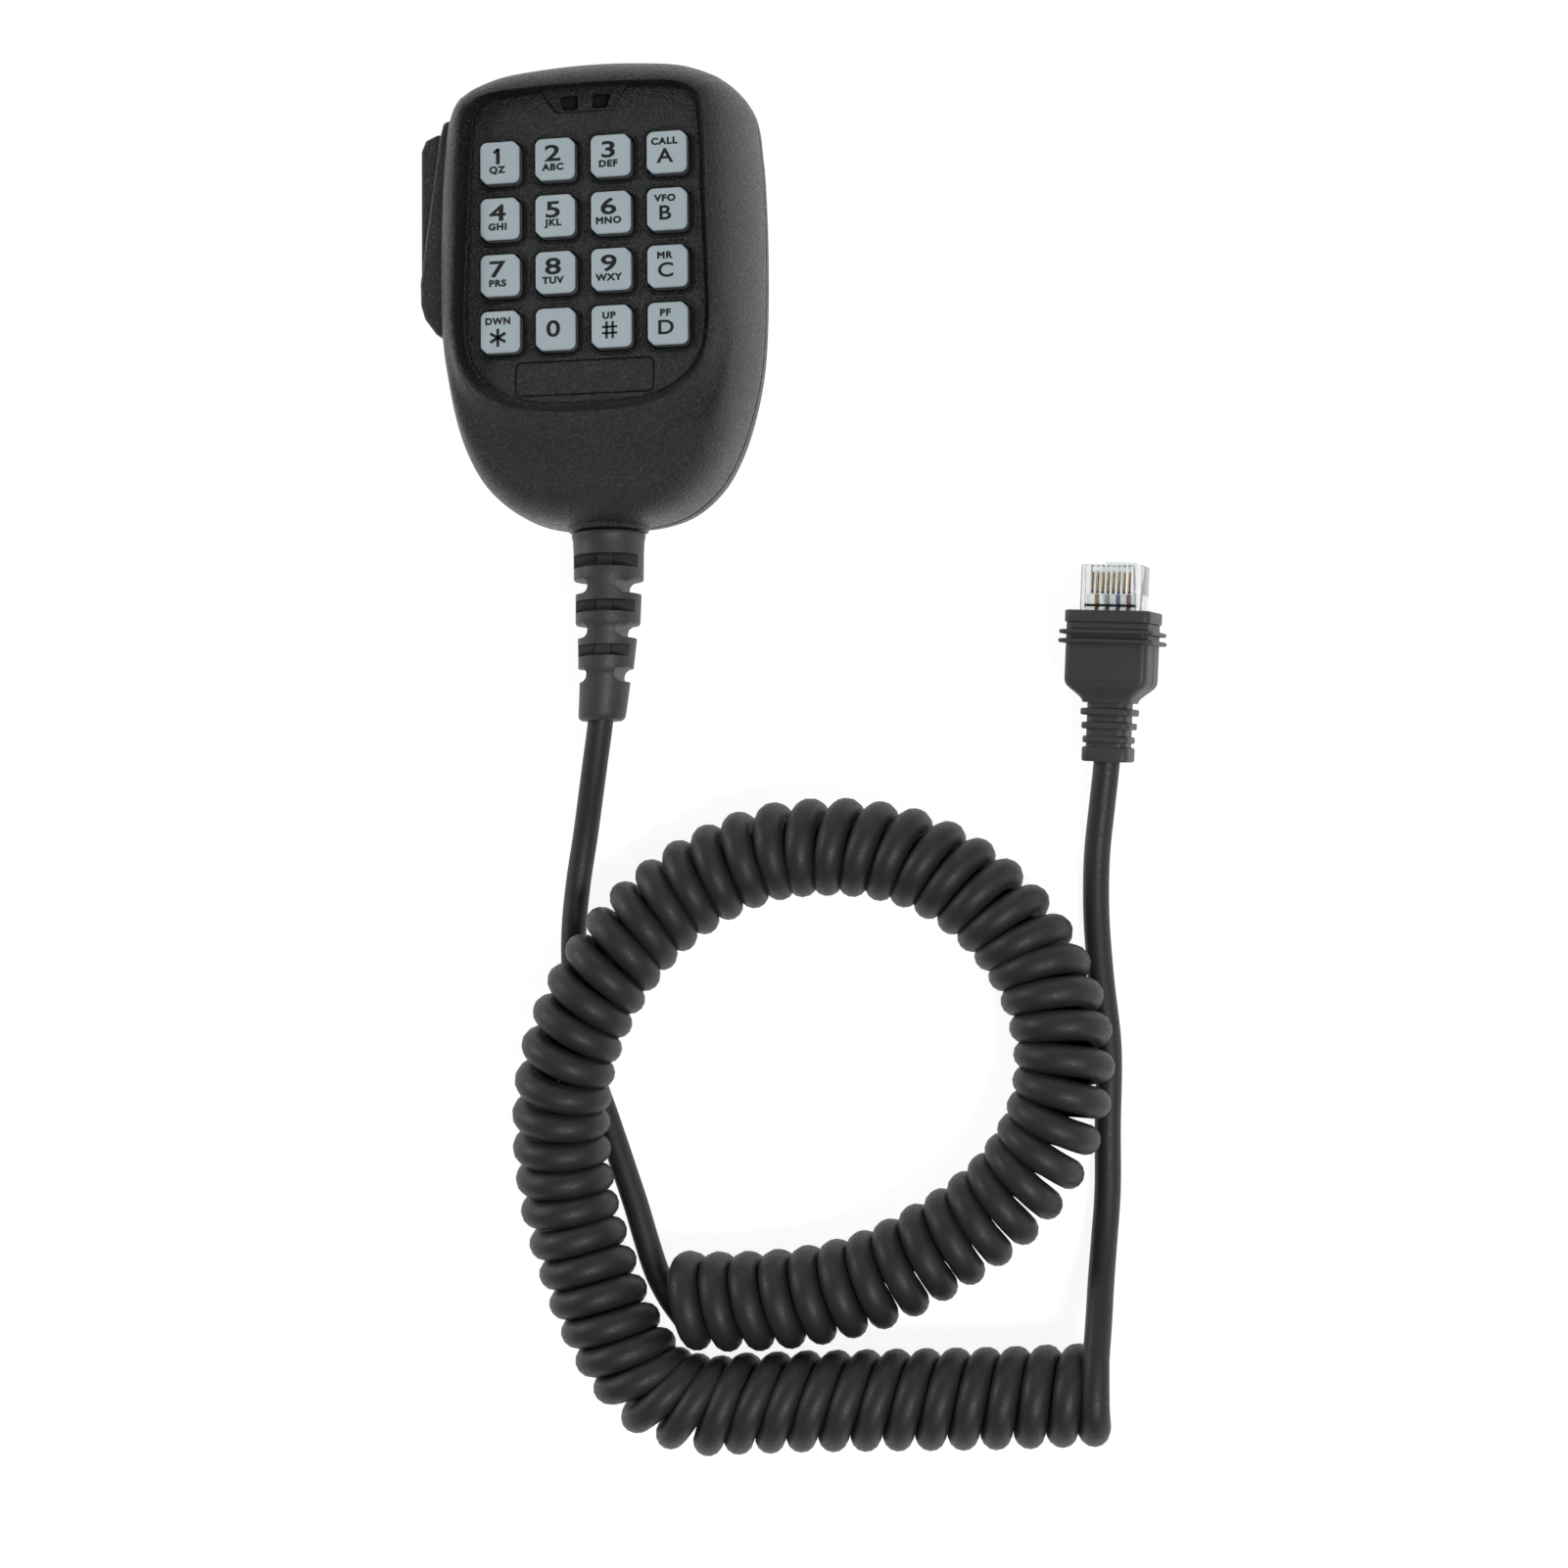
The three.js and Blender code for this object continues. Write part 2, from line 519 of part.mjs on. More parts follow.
// ---------------------------------------------------------------- strain relief
// Radius against distance from the shells' end; the first three pairs are the flange and waist inside.
const RELIEF_PROFILE = [[0, 5.4], [6.9, 5.4], [6.9, 3.6], [5.5, 3.6], [5.5, -0.3], [7.1, -0.3], [6.85, -1.4],
  [6.7, -9.3], [6.35, -9.9], [6.3, -17.6], [5.7, -18.4], [5.3, -26.4], [5.0, -27.2], [4.6, -35.6],
  [4.2, -RELIEF_LENGTH], [0, -RELIEF_LENGTH]];
const SIDE_NOTCHES = [[-11.8, -9.6], [-20, -18.1], [-28.4, -26.4]]; // start and end of each pair
const FACE_SLOTS = [[-7.2, -4.7], [-15.7, -13.4], [-24, -21.8]];
const RELIEF_WEB = 3.2;

function strainRelief() {
  const points = RELIEF_PROFILE.map(([radius, y]) => new THREE.Vector2(radius, y)).reverse();
  const body = new THREE.LatheGeometry(points, 20);
  const cuts = [];
  for (const [low, high] of SIDE_NOTCHES) {
    for (const side of [-1, 1]) {
      cuts.push(box([side * (RELIEF_WEB + 5) - 5, low, -9], [side * (RELIEF_WEB + 5) + 5, high, 9]));
    }
  }
  for (const [low, high] of FACE_SLOTS) {
    for (const side of [-1, 1]) {
      cuts.push(box([-9, low, side * (RELIEF_WEB + 5) - 5], [9, high, side * (RELIEF_WEB + 5) + 5]));
    }
  }
  const geometry = combined([body], cuts);
  return drooped(geometry);
}

// Bends the part outside the shells down and to the left.
function drooped(geometry) {
  const position = geometry.getAttribute('position');
  for (let i = 0; i < position.count; i += 1) {
    const along = Math.max(0, -position.getY(i)) / RELIEF_LENGTH;
    position.setX(i, position.getX(i) - RELIEF_LEAN * along ** 2.4);
    position.setZ(i, position.getZ(i) - RELIEF_DROP * along ** 2);
  }
  return geometry;
}

// ---------------------------------------------------------------- cord
// Centreline points chosen along the surface: x, y, z.
const LEAD_ROUTE = [[-0.9, -81.7, 13.0], [-3.1, -90.7, 10.0], [-6.0, -102, 5.2], [-8.2, -112, 3.0],
  [-9.2, -121, 2.7], [-9.2, -129, 2.7], [-8.1, -139, 2.7], [-5.8, -149, 2.7], [-2.6, -158, 2.7],
  [0.5, -167, 2.7], [3.4, -175, 2.7], [5.8, -182, 2.7], [7.6, -187.4, 2.9], [9.6, -190.6, 3.2],
  [12.5, -191.8, 3.5]];
const COIL_ROUTE = [[13.7, -191.8, 9.5], [24, -191.8, 9.5], [34, -191, 9.5], [44, -189, 9.5],
  [53, -186, 9.5], [61, -181.4, 9.5], [69, -176, 9.5], [76.4, -169.6, 10], [82.2, -162, 10.6],
  [86, -153, 11.4], [87, -144, 11.4], [85.4, -134.6, 10.6], [81.6, -126, 9.5], [76, -118.8, 9.5],
  [69, -113, 9.5], [60.4, -108.8, 9.5], [51, -106.6, 9.5], [42, -106, 9.5], [32, -106.8, 9.5],
  [23, -109.6, 10], [14, -114, 10.8], [6.2, -120, 12.6], [0, -128, 14.6], [-5, -137, 15.2],
  [-8.2, -146, 15.0], [-10, -156, 13.2], [-10.2, -165.6, 11.2], [-9, -175, 10], [-6.4, -184.4, 9.5],
  [-3.2, -194, 9.5], [1, -203.4, 9.5], [7.6, -210.6, 9.5], [17, -212.8, 9.5], [27, -212, 9.5],
  [37, -211.4, 9.5], [47, -211, 9.5], [57, -210.6, 9.5], [67, -210.2, 9.5], [76, -209.8, 9.5],
  [85.2, -209.2, 9.5]];
const TAIL_ROUTE = [[86.3, -212.6, 3.4], [89.6, -211.6, 3.0], [92.0, -207, 2.7], [92.8, -200, 2.7],
  [94.0, -187, 2.7], [95.0, -174, 2.7], [96.2, -159, 2.7], [96.6, -144, 2.7], [95.2, -131, 2.7],
  [94.2, -119, 2.7], [94.3, -108, 3.2], [95.2, -98, 5.4], [95.9, -90.7, 6.9]];

// A solid tube along a route, with its steps at most the stated length apart.
function tube(route, diameter, sides, step) {
  const points = route.map((point) => new THREE.Vector3(...point));
  const curve = new THREE.CatmullRomCurve3(points, false, 'centripetal');
  const section = Array.from({ length: sides }, (_, i) => {
    const angle = (i / sides) * 2 * Math.PI;
    return new THREE.Vector2(Math.cos(angle), Math.sin(angle)).multiplyScalar(diameter / 2);
  });
  const steps = Math.ceil(curve.getLength() / step);
  const options = { extrudePath: curve, steps, bevelEnabled: false };
  return new THREE.ExtrudeGeometry(new THREE.Shape(section), options);
}

// ---------------------------------------------------------------- plug and boot
// In the plug's own frame: the nose at y = 0, the cord towards -Y, contacts on the +Z side.
const LATCH_ROOT = [-1.2, -3.9];

const contactPlaces = Array.from({ length: 8 }, (_, i) => (i - 3.5) * CONTACT_PITCH);

function plugBody() {
  const body = box([-PLUG_WIDTH / 2, -PLUG_LENGTH, -PLUG_HEIGHT / 2], [PLUG_WIDTH / 2, 0, PLUG_HEIGHT / 2]);
  const slots = contactPlaces.map((x) => box([x - 0.33, -6.9, 1.0], [x + 0.33, -1.0, PLUG_HEIGHT / 2 + 1]));
  return combined([body], slots);
}

function plugContact(x) {
  return box([x - 0.2, -6.6, 1.3], [x + 0.2, -1.4, PLUG_HEIGHT / 2 - 0.35]);
}

// The sprung latch under the plug, held at the nose and pointing back and away.
function plugLatch() {
  const [y, z] = LATCH_ROOT;
  const side = [[y + 1.0, z + 0.3], [y + 1.0, z - 0.8], [-12.6, -7.4], [-13.4, -7.0], [-13.2, -6.4],
    [y - 1.2, z + 0.3]];
  return prism(side, -3, 3).rotateY(Math.PI / 2).rotateX(Math.PI / 2);
}

function plugBoot() {
  const block = (front, rear, width, height) => (
    box([-width / 2, -rear, -height / 2], [width / 2, -front, height / 2]));
  const taper = (front, rear, from, to) => {
    const corners = (w, h) => [[-w / 2, -h / 2], [w / 2, -h / 2], [w / 2, h / 2], [-w / 2, h / 2]];
    return loft([
      corners(...to).map(([x, z]) => [x, -z, -rear]),
      corners(...from).map(([x, z]) => [x, -z, -front]),
    ].map((section) => section.slice().reverse())).rotateX(-Math.PI / 2);
  };
  const ribs = [27, 29.6, 32.2].map((front, i) => block(front, front + 1.3, 9.9 - 0.5 * i, 8.6 - 0.4 * i));
  const parts = [
    block(BOOT_FRONT, 11, 16.4, 11.8), block(10.8, 22, 15.8, 11.2),
    block(12.4, 13.3, 18, 13.6), block(14.1, 15, 18, 13.6),
    taper(21.9, 25.8, [15.8, 11.2], [9.4, 8.2]), block(25.7, 34.4, 7.9, 6.8), ...ribs,
    block(34.2, BOOT_END, 9, 7.4),
  ];
  const socket = box([-PLUG_WIDTH / 2 - GAP, -PLUG_LENGTH - GAP, -PLUG_HEIGHT / 2 - GAP],
    [PLUG_WIDTH / 2 + GAP, 0, PLUG_HEIGHT / 2 + GAP]);
  const latchRoom = box([-3.6, -15.8, -12], [3.6, 0, -PLUG_HEIGHT / 2]);
  return combined(parts, [socket, latchRoom]);
}

// ---------------------------------------------------------------- assembly
const root = new THREE.Group();

function place(name, geometry, finish, parent) {
  const mesh = new THREE.Mesh(geometry, finish);
  mesh.name = name;
  parent.add(mesh);
  return mesh;
}

const body = new THREE.Group();
body.position.set(KEYPAD_X, KEYPAD_Y, 0);
root.add(body);

place('front_shell', frontShell(), shellBlack(), body);
place('rear_shell', rearShell(), shellBlack(), body);
place('badge_plate', badgePlate(), shellBlack(), body);
place('dust_screen', box(DUST_SCREEN.low, DUST_SCREEN.high), feltBlack(), body);
for (const { name, x, y } of keyPlaces) {
  place(name, keyCap(), keyGrey(), body).position.set(x, y, 0);
}
place('ptt_button', pttButton(), shellBlack(), body);
place('ptt_hinge_pin', hingePin(), steel(), body);
place('ptt_switch', pttSwitch(), chipBlack(), body);
place('ptt_plunger', pttPlunger(), whiteNylon(), body);
place('keypad_mat', keypadMat(), siliconeGrey(), body);
place('circuit_board', circuitBoard(), boardGreen(), body);
place('tone_chip', box(TONE_CHIP.low, TONE_CHIP.high), chipBlack(), body);
place('cord_header', box(CORD_HEADER.low, CORD_HEADER.high), whiteNylon(), body);
const capsule = upright(CAPSULE_RADIUS, 0, CAPSULE_Y, CAPSULE_BOTTOM_Z, CAPSULE_TOP_Z, 24);
place('mic_capsule', capsule, steel(), body);
place('capsule_holder', capsuleHolder(), rubberBlack(), body);
BOARD_SCREWS.forEach(([x, y], i) => place(`board_screw_${i + 1}`, boardScrew(x, y), steel(), body));
CASE_SCREWS.forEach(([x, y], i) => place(`case_screw_${i + 1}`, caseScrew(x, y), steel(), body));
place('hanger_knob', hangerKnob(), rubberBlack(), body);
place('hanger_screw', hangerScrew(), steel(), body);
place('strain_relief', strainRelief(), rubberBlack(), body).position.set(0, NECK_END_Y, NECK_Z);

place('cord_lead', tube(LEAD_ROUTE, CORD_DIAMETER, 10, 8), rubberBlack(), root);
place('curly_cord', tube(COIL_ROUTE, COIL_DIAMETER, 12, 8), rubberBlack(), root);
place('cord_tail', tube(TAIL_ROUTE, CORD_DIAMETER, 10, 8), rubberBlack(), root);

const plug = new THREE.Group();
plug.position.set(...PLUG_NOSE);
const plugTurns = [PLUG_PITCH, -PLUG_ROLL, -PLUG_YAW].map(THREE.MathUtils.degToRad);
plug.rotation.set(...plugTurns, 'ZXY');
root.add(plug);
place('plug_boot', plugBoot(), rubberBlack(), plug);
place('plug_body', plugBody(), clearPlastic(), plug);
place('plug_latch', plugLatch(), clearPlastic(), plug);
contactPlaces.forEach((x, i) => place(`plug_contact_${i + 1}`, plugContact(x), gold(), plug));

export default root;
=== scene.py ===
"""Keypad hand microphone with a curly cord and a clear modular plug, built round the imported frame.

Lengths are millimetres in the frame's axes until a mesh or curve is made, and metres after that.
Shapes of the microphone are drawn about the keypad's centre, and the plug's about its nose.
"""
import json
import math

import bmesh
import bpy
import numpy as np
from mathutils import Euler, Matrix, Vector


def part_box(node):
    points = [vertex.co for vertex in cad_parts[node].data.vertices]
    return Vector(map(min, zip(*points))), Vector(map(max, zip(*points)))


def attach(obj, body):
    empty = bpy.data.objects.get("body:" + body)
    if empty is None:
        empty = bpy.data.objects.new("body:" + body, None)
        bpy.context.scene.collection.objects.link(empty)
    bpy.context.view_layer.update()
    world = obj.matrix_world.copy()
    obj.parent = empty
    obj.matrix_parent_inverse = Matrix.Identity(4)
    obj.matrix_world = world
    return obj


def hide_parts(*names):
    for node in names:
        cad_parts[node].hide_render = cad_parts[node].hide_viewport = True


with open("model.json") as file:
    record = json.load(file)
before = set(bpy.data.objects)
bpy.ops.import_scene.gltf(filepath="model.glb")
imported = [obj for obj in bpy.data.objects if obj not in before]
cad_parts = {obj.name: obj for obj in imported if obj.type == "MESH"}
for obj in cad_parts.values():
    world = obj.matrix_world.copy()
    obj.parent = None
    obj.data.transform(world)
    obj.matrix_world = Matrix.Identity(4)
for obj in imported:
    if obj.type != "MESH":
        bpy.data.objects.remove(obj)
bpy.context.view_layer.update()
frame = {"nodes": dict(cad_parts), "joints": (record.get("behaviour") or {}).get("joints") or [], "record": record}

MM = 0.001
RECORD = frame["record"]
ROOT = "microphone"


def span(node):
    """A CAD node's lowest and highest corners in millimetres."""
    low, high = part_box(node)
    return np.array(low) / MM, np.array(high) / MM


# ---- levels and places from the frame
KEY_ROWS = [
    ["key_1", "key_2", "key_3", "key_a"],
    ["key_4", "key_5", "key_6", "key_b"],
    ["key_7", "key_8", "key_9", "key_c"],
    ["key_star", "key_0", "key_hash", "key_d"],
]
KEYPAD = (span("key_1")[0] + span("key_1")[1] + span("key_d")[0] + span("key_d")[1]) / 4
KEYPAD[2] = 0.0
KEY_TOP_Z = span("key_1")[1][2]
KEY_BOTTOM_Z = span("key_1")[0][2]
PANEL_Z = span("badge_plate")[1][2]
PANEL_UNDER_Z = PANEL_Z - 2.2
PARTING_Z = span("front_shell")[0][2]
REAR_TOP_Z = PARTING_Z - 0.3
BACK_Z = span("rear_shell")[0][2]
WALL = 2.2


def placed(name, data, matrix=None):
    """A new object in the scene."""
    obj = bpy.data.objects.new(name, data)
    if matrix is not None:
        obj.matrix_world = matrix
    bpy.context.scene.collection.objects.link(obj)
    return obj


# ---- camera and light
CAMERA_PLACE = (0.12321, -0.11984, 0.48964)
CAMERA_TURN = (3.014, 10.501, -0.528)  # degrees about X, Y and Z, from looking straight down
CAMERA_LENS = 58.46  # on a sensor 36 wide


def make_camera():
    """The camera stands to the right of the keypad and looks down at it, steeply."""
    data = bpy.data.cameras.new("camera")
    data.sensor_width = 36.0
    data.lens = CAMERA_LENS
    data.clip_start = 0.01
    turn = Euler([math.radians(angle) for angle in CAMERA_TURN]).to_matrix().to_4x4()
    camera = placed("camera", data, Matrix.Translation(CAMERA_PLACE) @ turn)
    bpy.context.scene.camera = camera


# Name: place, target, width and height in metres, power in watts.
LIGHTS = {
    "key": ((0.5, -0.5, 1.0), (0.02, -0.06, 0.0), (0.3, 0.26), 5.6),
    "left": ((-0.85, 0.25, 0.4), (0.0, -0.03, 0.02), (0.5, 0.14), 3.0),
    "right": ((0.85, 0.1, 0.7), (0.03, -0.05, 0.0), (0.5, 0.4), 0.9),
    "top": ((0.05, 0.95, 0.5), (0.0, 0.0, 0.02), (0.8, 0.3), 1.5),
}
WORLD_STRENGTH = 0.17


def area_light(name, place, target, size, power):
    data = bpy.data.lights.new(name, "AREA")
    data.shape = "RECTANGLE"
    data.size, data.size_y = size
    data.energy = power
    facing = (Vector(target) - Vector(place)).to_track_quat("-Z", "Y")
    placed(name, data, Matrix.Translation(place) @ facing.to_matrix().to_4x4())


def make_studio():
    world = bpy.data.worlds.new("studio")
    bpy.context.scene.world = world
    world.use_nodes = True
    background = world.node_tree.nodes["Background"]
    background.inputs["Color"].default_value = (1.0, 1.0, 1.0, 1.0)
    background.inputs["Strength"].default_value = WORLD_STRENGTH
    for name, settings in LIGHTS.items():
        area_light(name, *settings)
    bpy.context.scene.view_settings.view_transform = "Standard"


# ---- curves and cord
def catmull(points, spacing):
    """Points along a centripetal Catmull-Rom curve, about the stated spacing apart."""
    points = [np.array(p, float) for p in points]
    ends = [2 * points[0] - points[1]] + points + [2 * points[-1] - points[-2]]
    out = []
    for a, b, c, d in zip(ends, ends[1:], ends[2:], ends[3:]):
        t0 = 0.0
        t1 = t0 + max(np.linalg.norm(b - a), 1e-6) ** 0.5
        t2 = t1 + max(np.linalg.norm(c - b), 1e-6) ** 0.5
        t3 = t2 + max(np.linalg.norm(d - c), 1e-6) ** 0.5
        steps = max(2, int(math.ceil(np.linalg.norm(c - b) / spacing)))
        for k in range(steps):
            t = t1 + (t2 - t1) * k / steps
            ab = ((t1 - t) * a + (t - t0) * b) / (t1 - t0)
            bc = ((t2 - t) * b + (t - t1) * c) / (t2 - t1)
            cd = ((t3 - t) * c + (t - t2) * d) / (t3 - t2)
            abc = ((t2 - t) * ab + (t - t0) * bc) / (t2 - t0)
            bcd = ((t3 - t) * bc + (t - t1) * cd) / (t3 - t1)
            out.append(((t2 - t) * abc + (t - t1) * bcd) / (t2 - t1))
    out.append(points[-1])
    return np.array(out)


def arc_lengths(points):
    return np.concatenate([[0.0], np.cumsum(np.linalg.norm(np.diff(points, axis=0), axis=1))])


CORD_DIAMETER = 5.0
STRAND_DIAMETER = 5.8
COIL_PITCH = 5.91
COIL_TURNS = 65  # from the top of the first strand to the top of the last
TURN_POINTS = 24
COIL_RADIUS = 6.58
THICKENING_POINTS = 8.0  # over which the cord grows to the strand's thickness
CORD_LOW = 2.7  # height of the centreline where the straight cord lies on the surface
COIL_LOW = 9.5  # height of the coil's axis where the coil does
# Centreline points chosen along the surface: x, y, z.
LEAD_ROUTE = [
    (-0.4, -78.6, 13.9), (-1.0, -81.7, 13.0), (-3.1, -90.7, 10.0), (-6.0, -102, 5.2), (-8.2, -112, 3.0),
    (-9.2, -121, CORD_LOW), (-9.2, -129, CORD_LOW), (-8.1, -139, CORD_LOW), (-5.8, -149, CORD_LOW),
    (-2.6, -158, CORD_LOW), (0.5, -167, CORD_LOW), (3.2, -175, CORD_LOW), (5.3, -182, CORD_LOW),
    (7.3, -187.8, CORD_LOW), (9.9, -192.6, CORD_LOW), (12.7, -196, 3.4),
]
COIL_ROUTE = [
    (12.9, -191.9, COIL_LOW), (23.4, -191.9, COIL_LOW), (33.8, -191.2, COIL_LOW),
    (44, -189.4, COIL_LOW), (53.2, -186.4, COIL_LOW), (61.6, -182, COIL_LOW), (69.8, -176.8, COIL_LOW),
    (77.2, -170.4, 10), (83, -162.6, 10.6), (86.6, -153.4, 11.4), (87.4, -144, 11.4),
    (85.4, -134.6, 10.6), (81.4, -126.2, COIL_LOW), (75.8, -119, COIL_LOW), (68.8, -113, COIL_LOW),
    (60.3, -108.4, COIL_LOW), (51, -106.1, COIL_LOW), (42, -105.5, COIL_LOW), (32, -106.4, COIL_LOW),
    (23, -109.4, 10), (14.4, -114.2, 10.8), (6.9, -120.6, 12.6), (0.9, -128.4, 14.6),
    (-4, -137.2, 15.2), (-7.2, -146, 15.0), (-9, -156, 13.2), (-9.2, -165.6, 11.2), (-8.1, -175, 10),
    (-5.4, -184.2, COIL_LOW), (-2, -193.4, COIL_LOW), (2.6, -202, COIL_LOW), (8.8, -208.8, COIL_LOW),
    (17.4, -211.4, COIL_LOW), (27, -211, COIL_LOW), (37, -210.4, COIL_LOW), (47, -210, COIL_LOW),
    (57, -209.6, COIL_LOW), (67, -209.2, COIL_LOW), (76, -208.8, COIL_LOW), (85.2, -208.2, COIL_LOW),
    (92.4, -207.8, COIL_LOW),
]
TAIL_ROUTE = [
    (92.7, -200.5, 14.9), (93.1, -194, 11.4), (93.4, -187, 7.2), (93.9, -180, 4.2), (94.6, -171, 2.8),
    (94.8, -159, CORD_LOW), (95.2, -144, CORD_LOW), (94.0, -131, CORD_LOW), (93.3, -119, CORD_LOW),
    (93.6, -108, 3.2), (94.9, -98, 5.4), (95.9, -90.7, 6.9), (96.2, -87.0, 7.3),
]
# How far the strands lean forwards on top of the coil, in degrees, against millimetres along it.
STRAND_LEAN = [
    (0, -8), (15, -8), (30, -1), (44, 6), (58, 9), (73, 12), (88, 8), (102, 12), (117, 17), (132, 11),
    (146, 16), (161, 16), (176, 5), (190, 10), (205, 13), (234, 12), (249, 5), (263, 7), (278, 8),
    (293, 20), (307, 31), (322, 32), (337, 28), (351, 24), (380, 16),
]


def coil_points():
    """The helix: left-handed, from low on the first strand to just before the last strand's top."""
    middle = catmull(COIL_ROUTE, 0.5)
    along = arc_lengths(middle)
    first_turn = 0.14  # where the lead has become the coil, as a share of a turn past the bottom
    last_turn = 0.5 + COIL_TURNS - 0.04
    count = int((last_turn - first_turn) * TURN_POINTS)
    points = []
    for k in range(count + 1):
        turn = first_turn + (last_turn - first_turn) * k / count
        at = turn * COIL_PITCH
        centre, ahead, behind = [
            np.array([np.interp(place, along, middle[:, axis]) for axis in range(3)])
            for place in (at, at + 2.0, at - 2.0)
        ]
        forward = (ahead - behind) / np.linalg.norm(ahead - behind)
        left = np.cross([0, 0, 1], forward)
        left /= np.linalg.norm(left)
        up = np.cross(forward, left)
        phase = -math.pi / 2 - 2 * math.pi * turn
        lean = np.interp(at, *np.array(STRAND_LEAN, float).T)
        shear = math.tan(math.radians(lean)) - COIL_PITCH / (4 * COIL_RADIUS)
        across = COIL_RADIUS * math.cos(phase)
        upwards = COIL_RADIUS * math.sin(phase)
        points.append(centre + left * across + forward * across * shear + up * upwards)
    return np.array(points)


def bridge(before, start, stop, after):
    """The stretch from start to just before stop of a smooth curve through all four points."""
    curve = catmull([before, start, stop, after], 1.5)
    first = int(np.argmin(np.linalg.norm(curve - start, axis=1)))
    last = int(np.argmin(np.linalg.norm(curve - stop, axis=1)))
    return curve[first:last]


def make_cord(with_pieces):
    lead = catmull(LEAD_ROUTE, 2.5)
    coil = coil_points()
    tail = catmull(TAIL_ROUTE, 2.5)
    into = bridge(lead[-2], lead[-1], coil[0], coil[1])
    out_of = bridge(coil[-3], coil[-1], tail[0], tail[1])
    points = np.vstack([lead[:-1], into, coil[:-1], out_of, tail])
    first, last = len(lead) - 1, len(points) - len(tail)
    thick = STRAND_DIAMETER / CORD_DIAMETER
    index = np.arange(len(points))
    share = np.clip(np.minimum(index - first, last - index) / THICKENING_POINTS, 0.0, 1.0)
    data = bpy.data.curves.new("cord", "CURVE")
    data.dimensions = "3D"
    data.bevel_depth = CORD_DIAMETER / 2 * MM
    data.bevel_resolution = 5
    data.use_fill_caps = True
    spline = data.splines.new("POLY")
    spline.points.add(len(points) - 1)
    for spot, place, part in zip(spline.points, points, share):
        spot.co = (*(place * MM), 1.0)
        spot.radius = 1.0 + (thick - 1.0) * part
    spline.use_smooth = True
    data.materials.append(MATERIALS["cord_black"])
    cord = placed("cord", data)
    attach(cord, ROOT)
    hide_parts("cord_lead", "curly_cord", "cord_tail")


# ---- materials
def nodes_of(name):
    material = bpy.data.materials.new(name)
    material.use_nodes = True
    tree = material.node_tree
    shader = tree.nodes["Principled BSDF"]
    return material, tree, shader


def object_noise(tree, scale, detail=3.0, stretch=None):
    """Noise fixed to the object, with its scale in cells per metre."""
    coordinates = tree.nodes.new("ShaderNodeTexCoord")
    noise = tree.nodes.new("ShaderNodeTexNoise")
    noise.inputs["Scale"].default_value = scale
    noise.inputs["Detail"].default_value = detail
    source = coordinates.outputs["Object"]
    if stretch:
        mapping = tree.nodes.new("ShaderNodeMapping")
        mapping.inputs["Scale"].default_value = stretch
        tree.links.new(source, mapping.inputs["Vector"])
        source = mapping.outputs["Vector"]
    tree.links.new(source, noise.inputs["Vector"])
    return noise.outputs["Fac"]


NOISE_LOW, NOISE_HIGH = 0.3, 0.7  # nearly all of a noise's values lie between these


def ranged(tree, value, low, high):
    """A noise's values stretched over another range."""
    node = tree.nodes.new("ShaderNodeMapRange")
    node.inputs["From Min"].default_value = NOISE_LOW
    node.inputs["From Max"].default_value = NOISE_HIGH
    node.inputs["To Min"].default_value = low
    node.inputs["To Max"].default_value = high
    tree.links.new(value, node.inputs["Value"])
    return node.outputs["Result"]


def bumped(tree, shader, height, depth, under=None):
    """Bumps of the stated depth in metres, on top of the normal of any bumps under them."""
    bump = tree.nodes.new("ShaderNodeBump")
    bump.inputs["Distance"].default_value = depth
    bump.inputs["Strength"].default_value = 1.0
    tree.links.new(height, bump.inputs["Height"])
    if under is not None:
        tree.links.new(under, bump.inputs["Normal"])
    tree.links.new(bump.outputs["Normal"], shader.inputs["Normal"])
    return bump.outputs["Normal"]


def tinted(tree, shader, value, dark, light):
    """The base colour runs from dark to light with the noise."""
    ramp = tree.nodes.new("ShaderNodeValToRGB")
    ramp.color_ramp.elements[0].position = NOISE_LOW
    ramp.color_ramp.elements[0].color = (*dark, 1.0)
    ramp.color_ramp.elements[1].position = NOISE_HIGH
    ramp.color_ramp.elements[1].color = (*light, 1.0)
    tree.links.new(value, ramp.inputs["Fac"])
    tree.links.new(ramp.outputs["Color"], shader.inputs["Base Color"])


def grained_plastic(name, dark, light, roughness, grain, depth, spread=0.08, painted_glint=None):
    """Moulded plastic with a spark-eroded grain: cells of the stated number per metre."""
    material, tree, shader = nodes_of(name)
    broad = object_noise(tree, 90.0)
    tinted(tree, shader, broad, dark, light)
    cells = object_noise(tree, grain, 2.0)
    fine = object_noise(tree, grain * 2.7, 1.0)
    rough = ranged(tree, cells, roughness + spread, roughness - spread)
    tree.links.new(rough, shader.inputs["Roughness"])
    under = bumped(tree, shader, fine, depth * 0.4)
    bumped(tree, shader, cells, depth, under=under)
    # Pale dots painted into the base colour: painted glints.
    if painted_glint:
        add_painted_glints(tree, shader, grain * 1.05, painted_glint)
    return material


def add_painted_glints(tree, shader, scale, color):
    """Small pale dots painted into the base colour: painted glints, standing in for light caught by the tops of
    the grain.
    """
    glint_mask = tree.nodes.new("ShaderNodeMapRange")
    glint_mask.inputs["From Min"].default_value = 0.5
    glint_mask.inputs["From Max"].default_value = 0.66
    tree.links.new(object_noise(tree, scale, 2.0), glint_mask.inputs["Value"])
    mix = tree.nodes.new("ShaderNodeMixRGB")
    mix.inputs["Color2"].default_value = (*color, 1.0)
    tree.links.new(glint_mask.outputs["Result"], mix.inputs["Fac"])
    tree.links.new(shader.inputs["Base Color"].links[0].from_socket, mix.inputs["Color1"])
    tree.links.new(mix.outputs["Color"], shader.inputs["Base Color"])


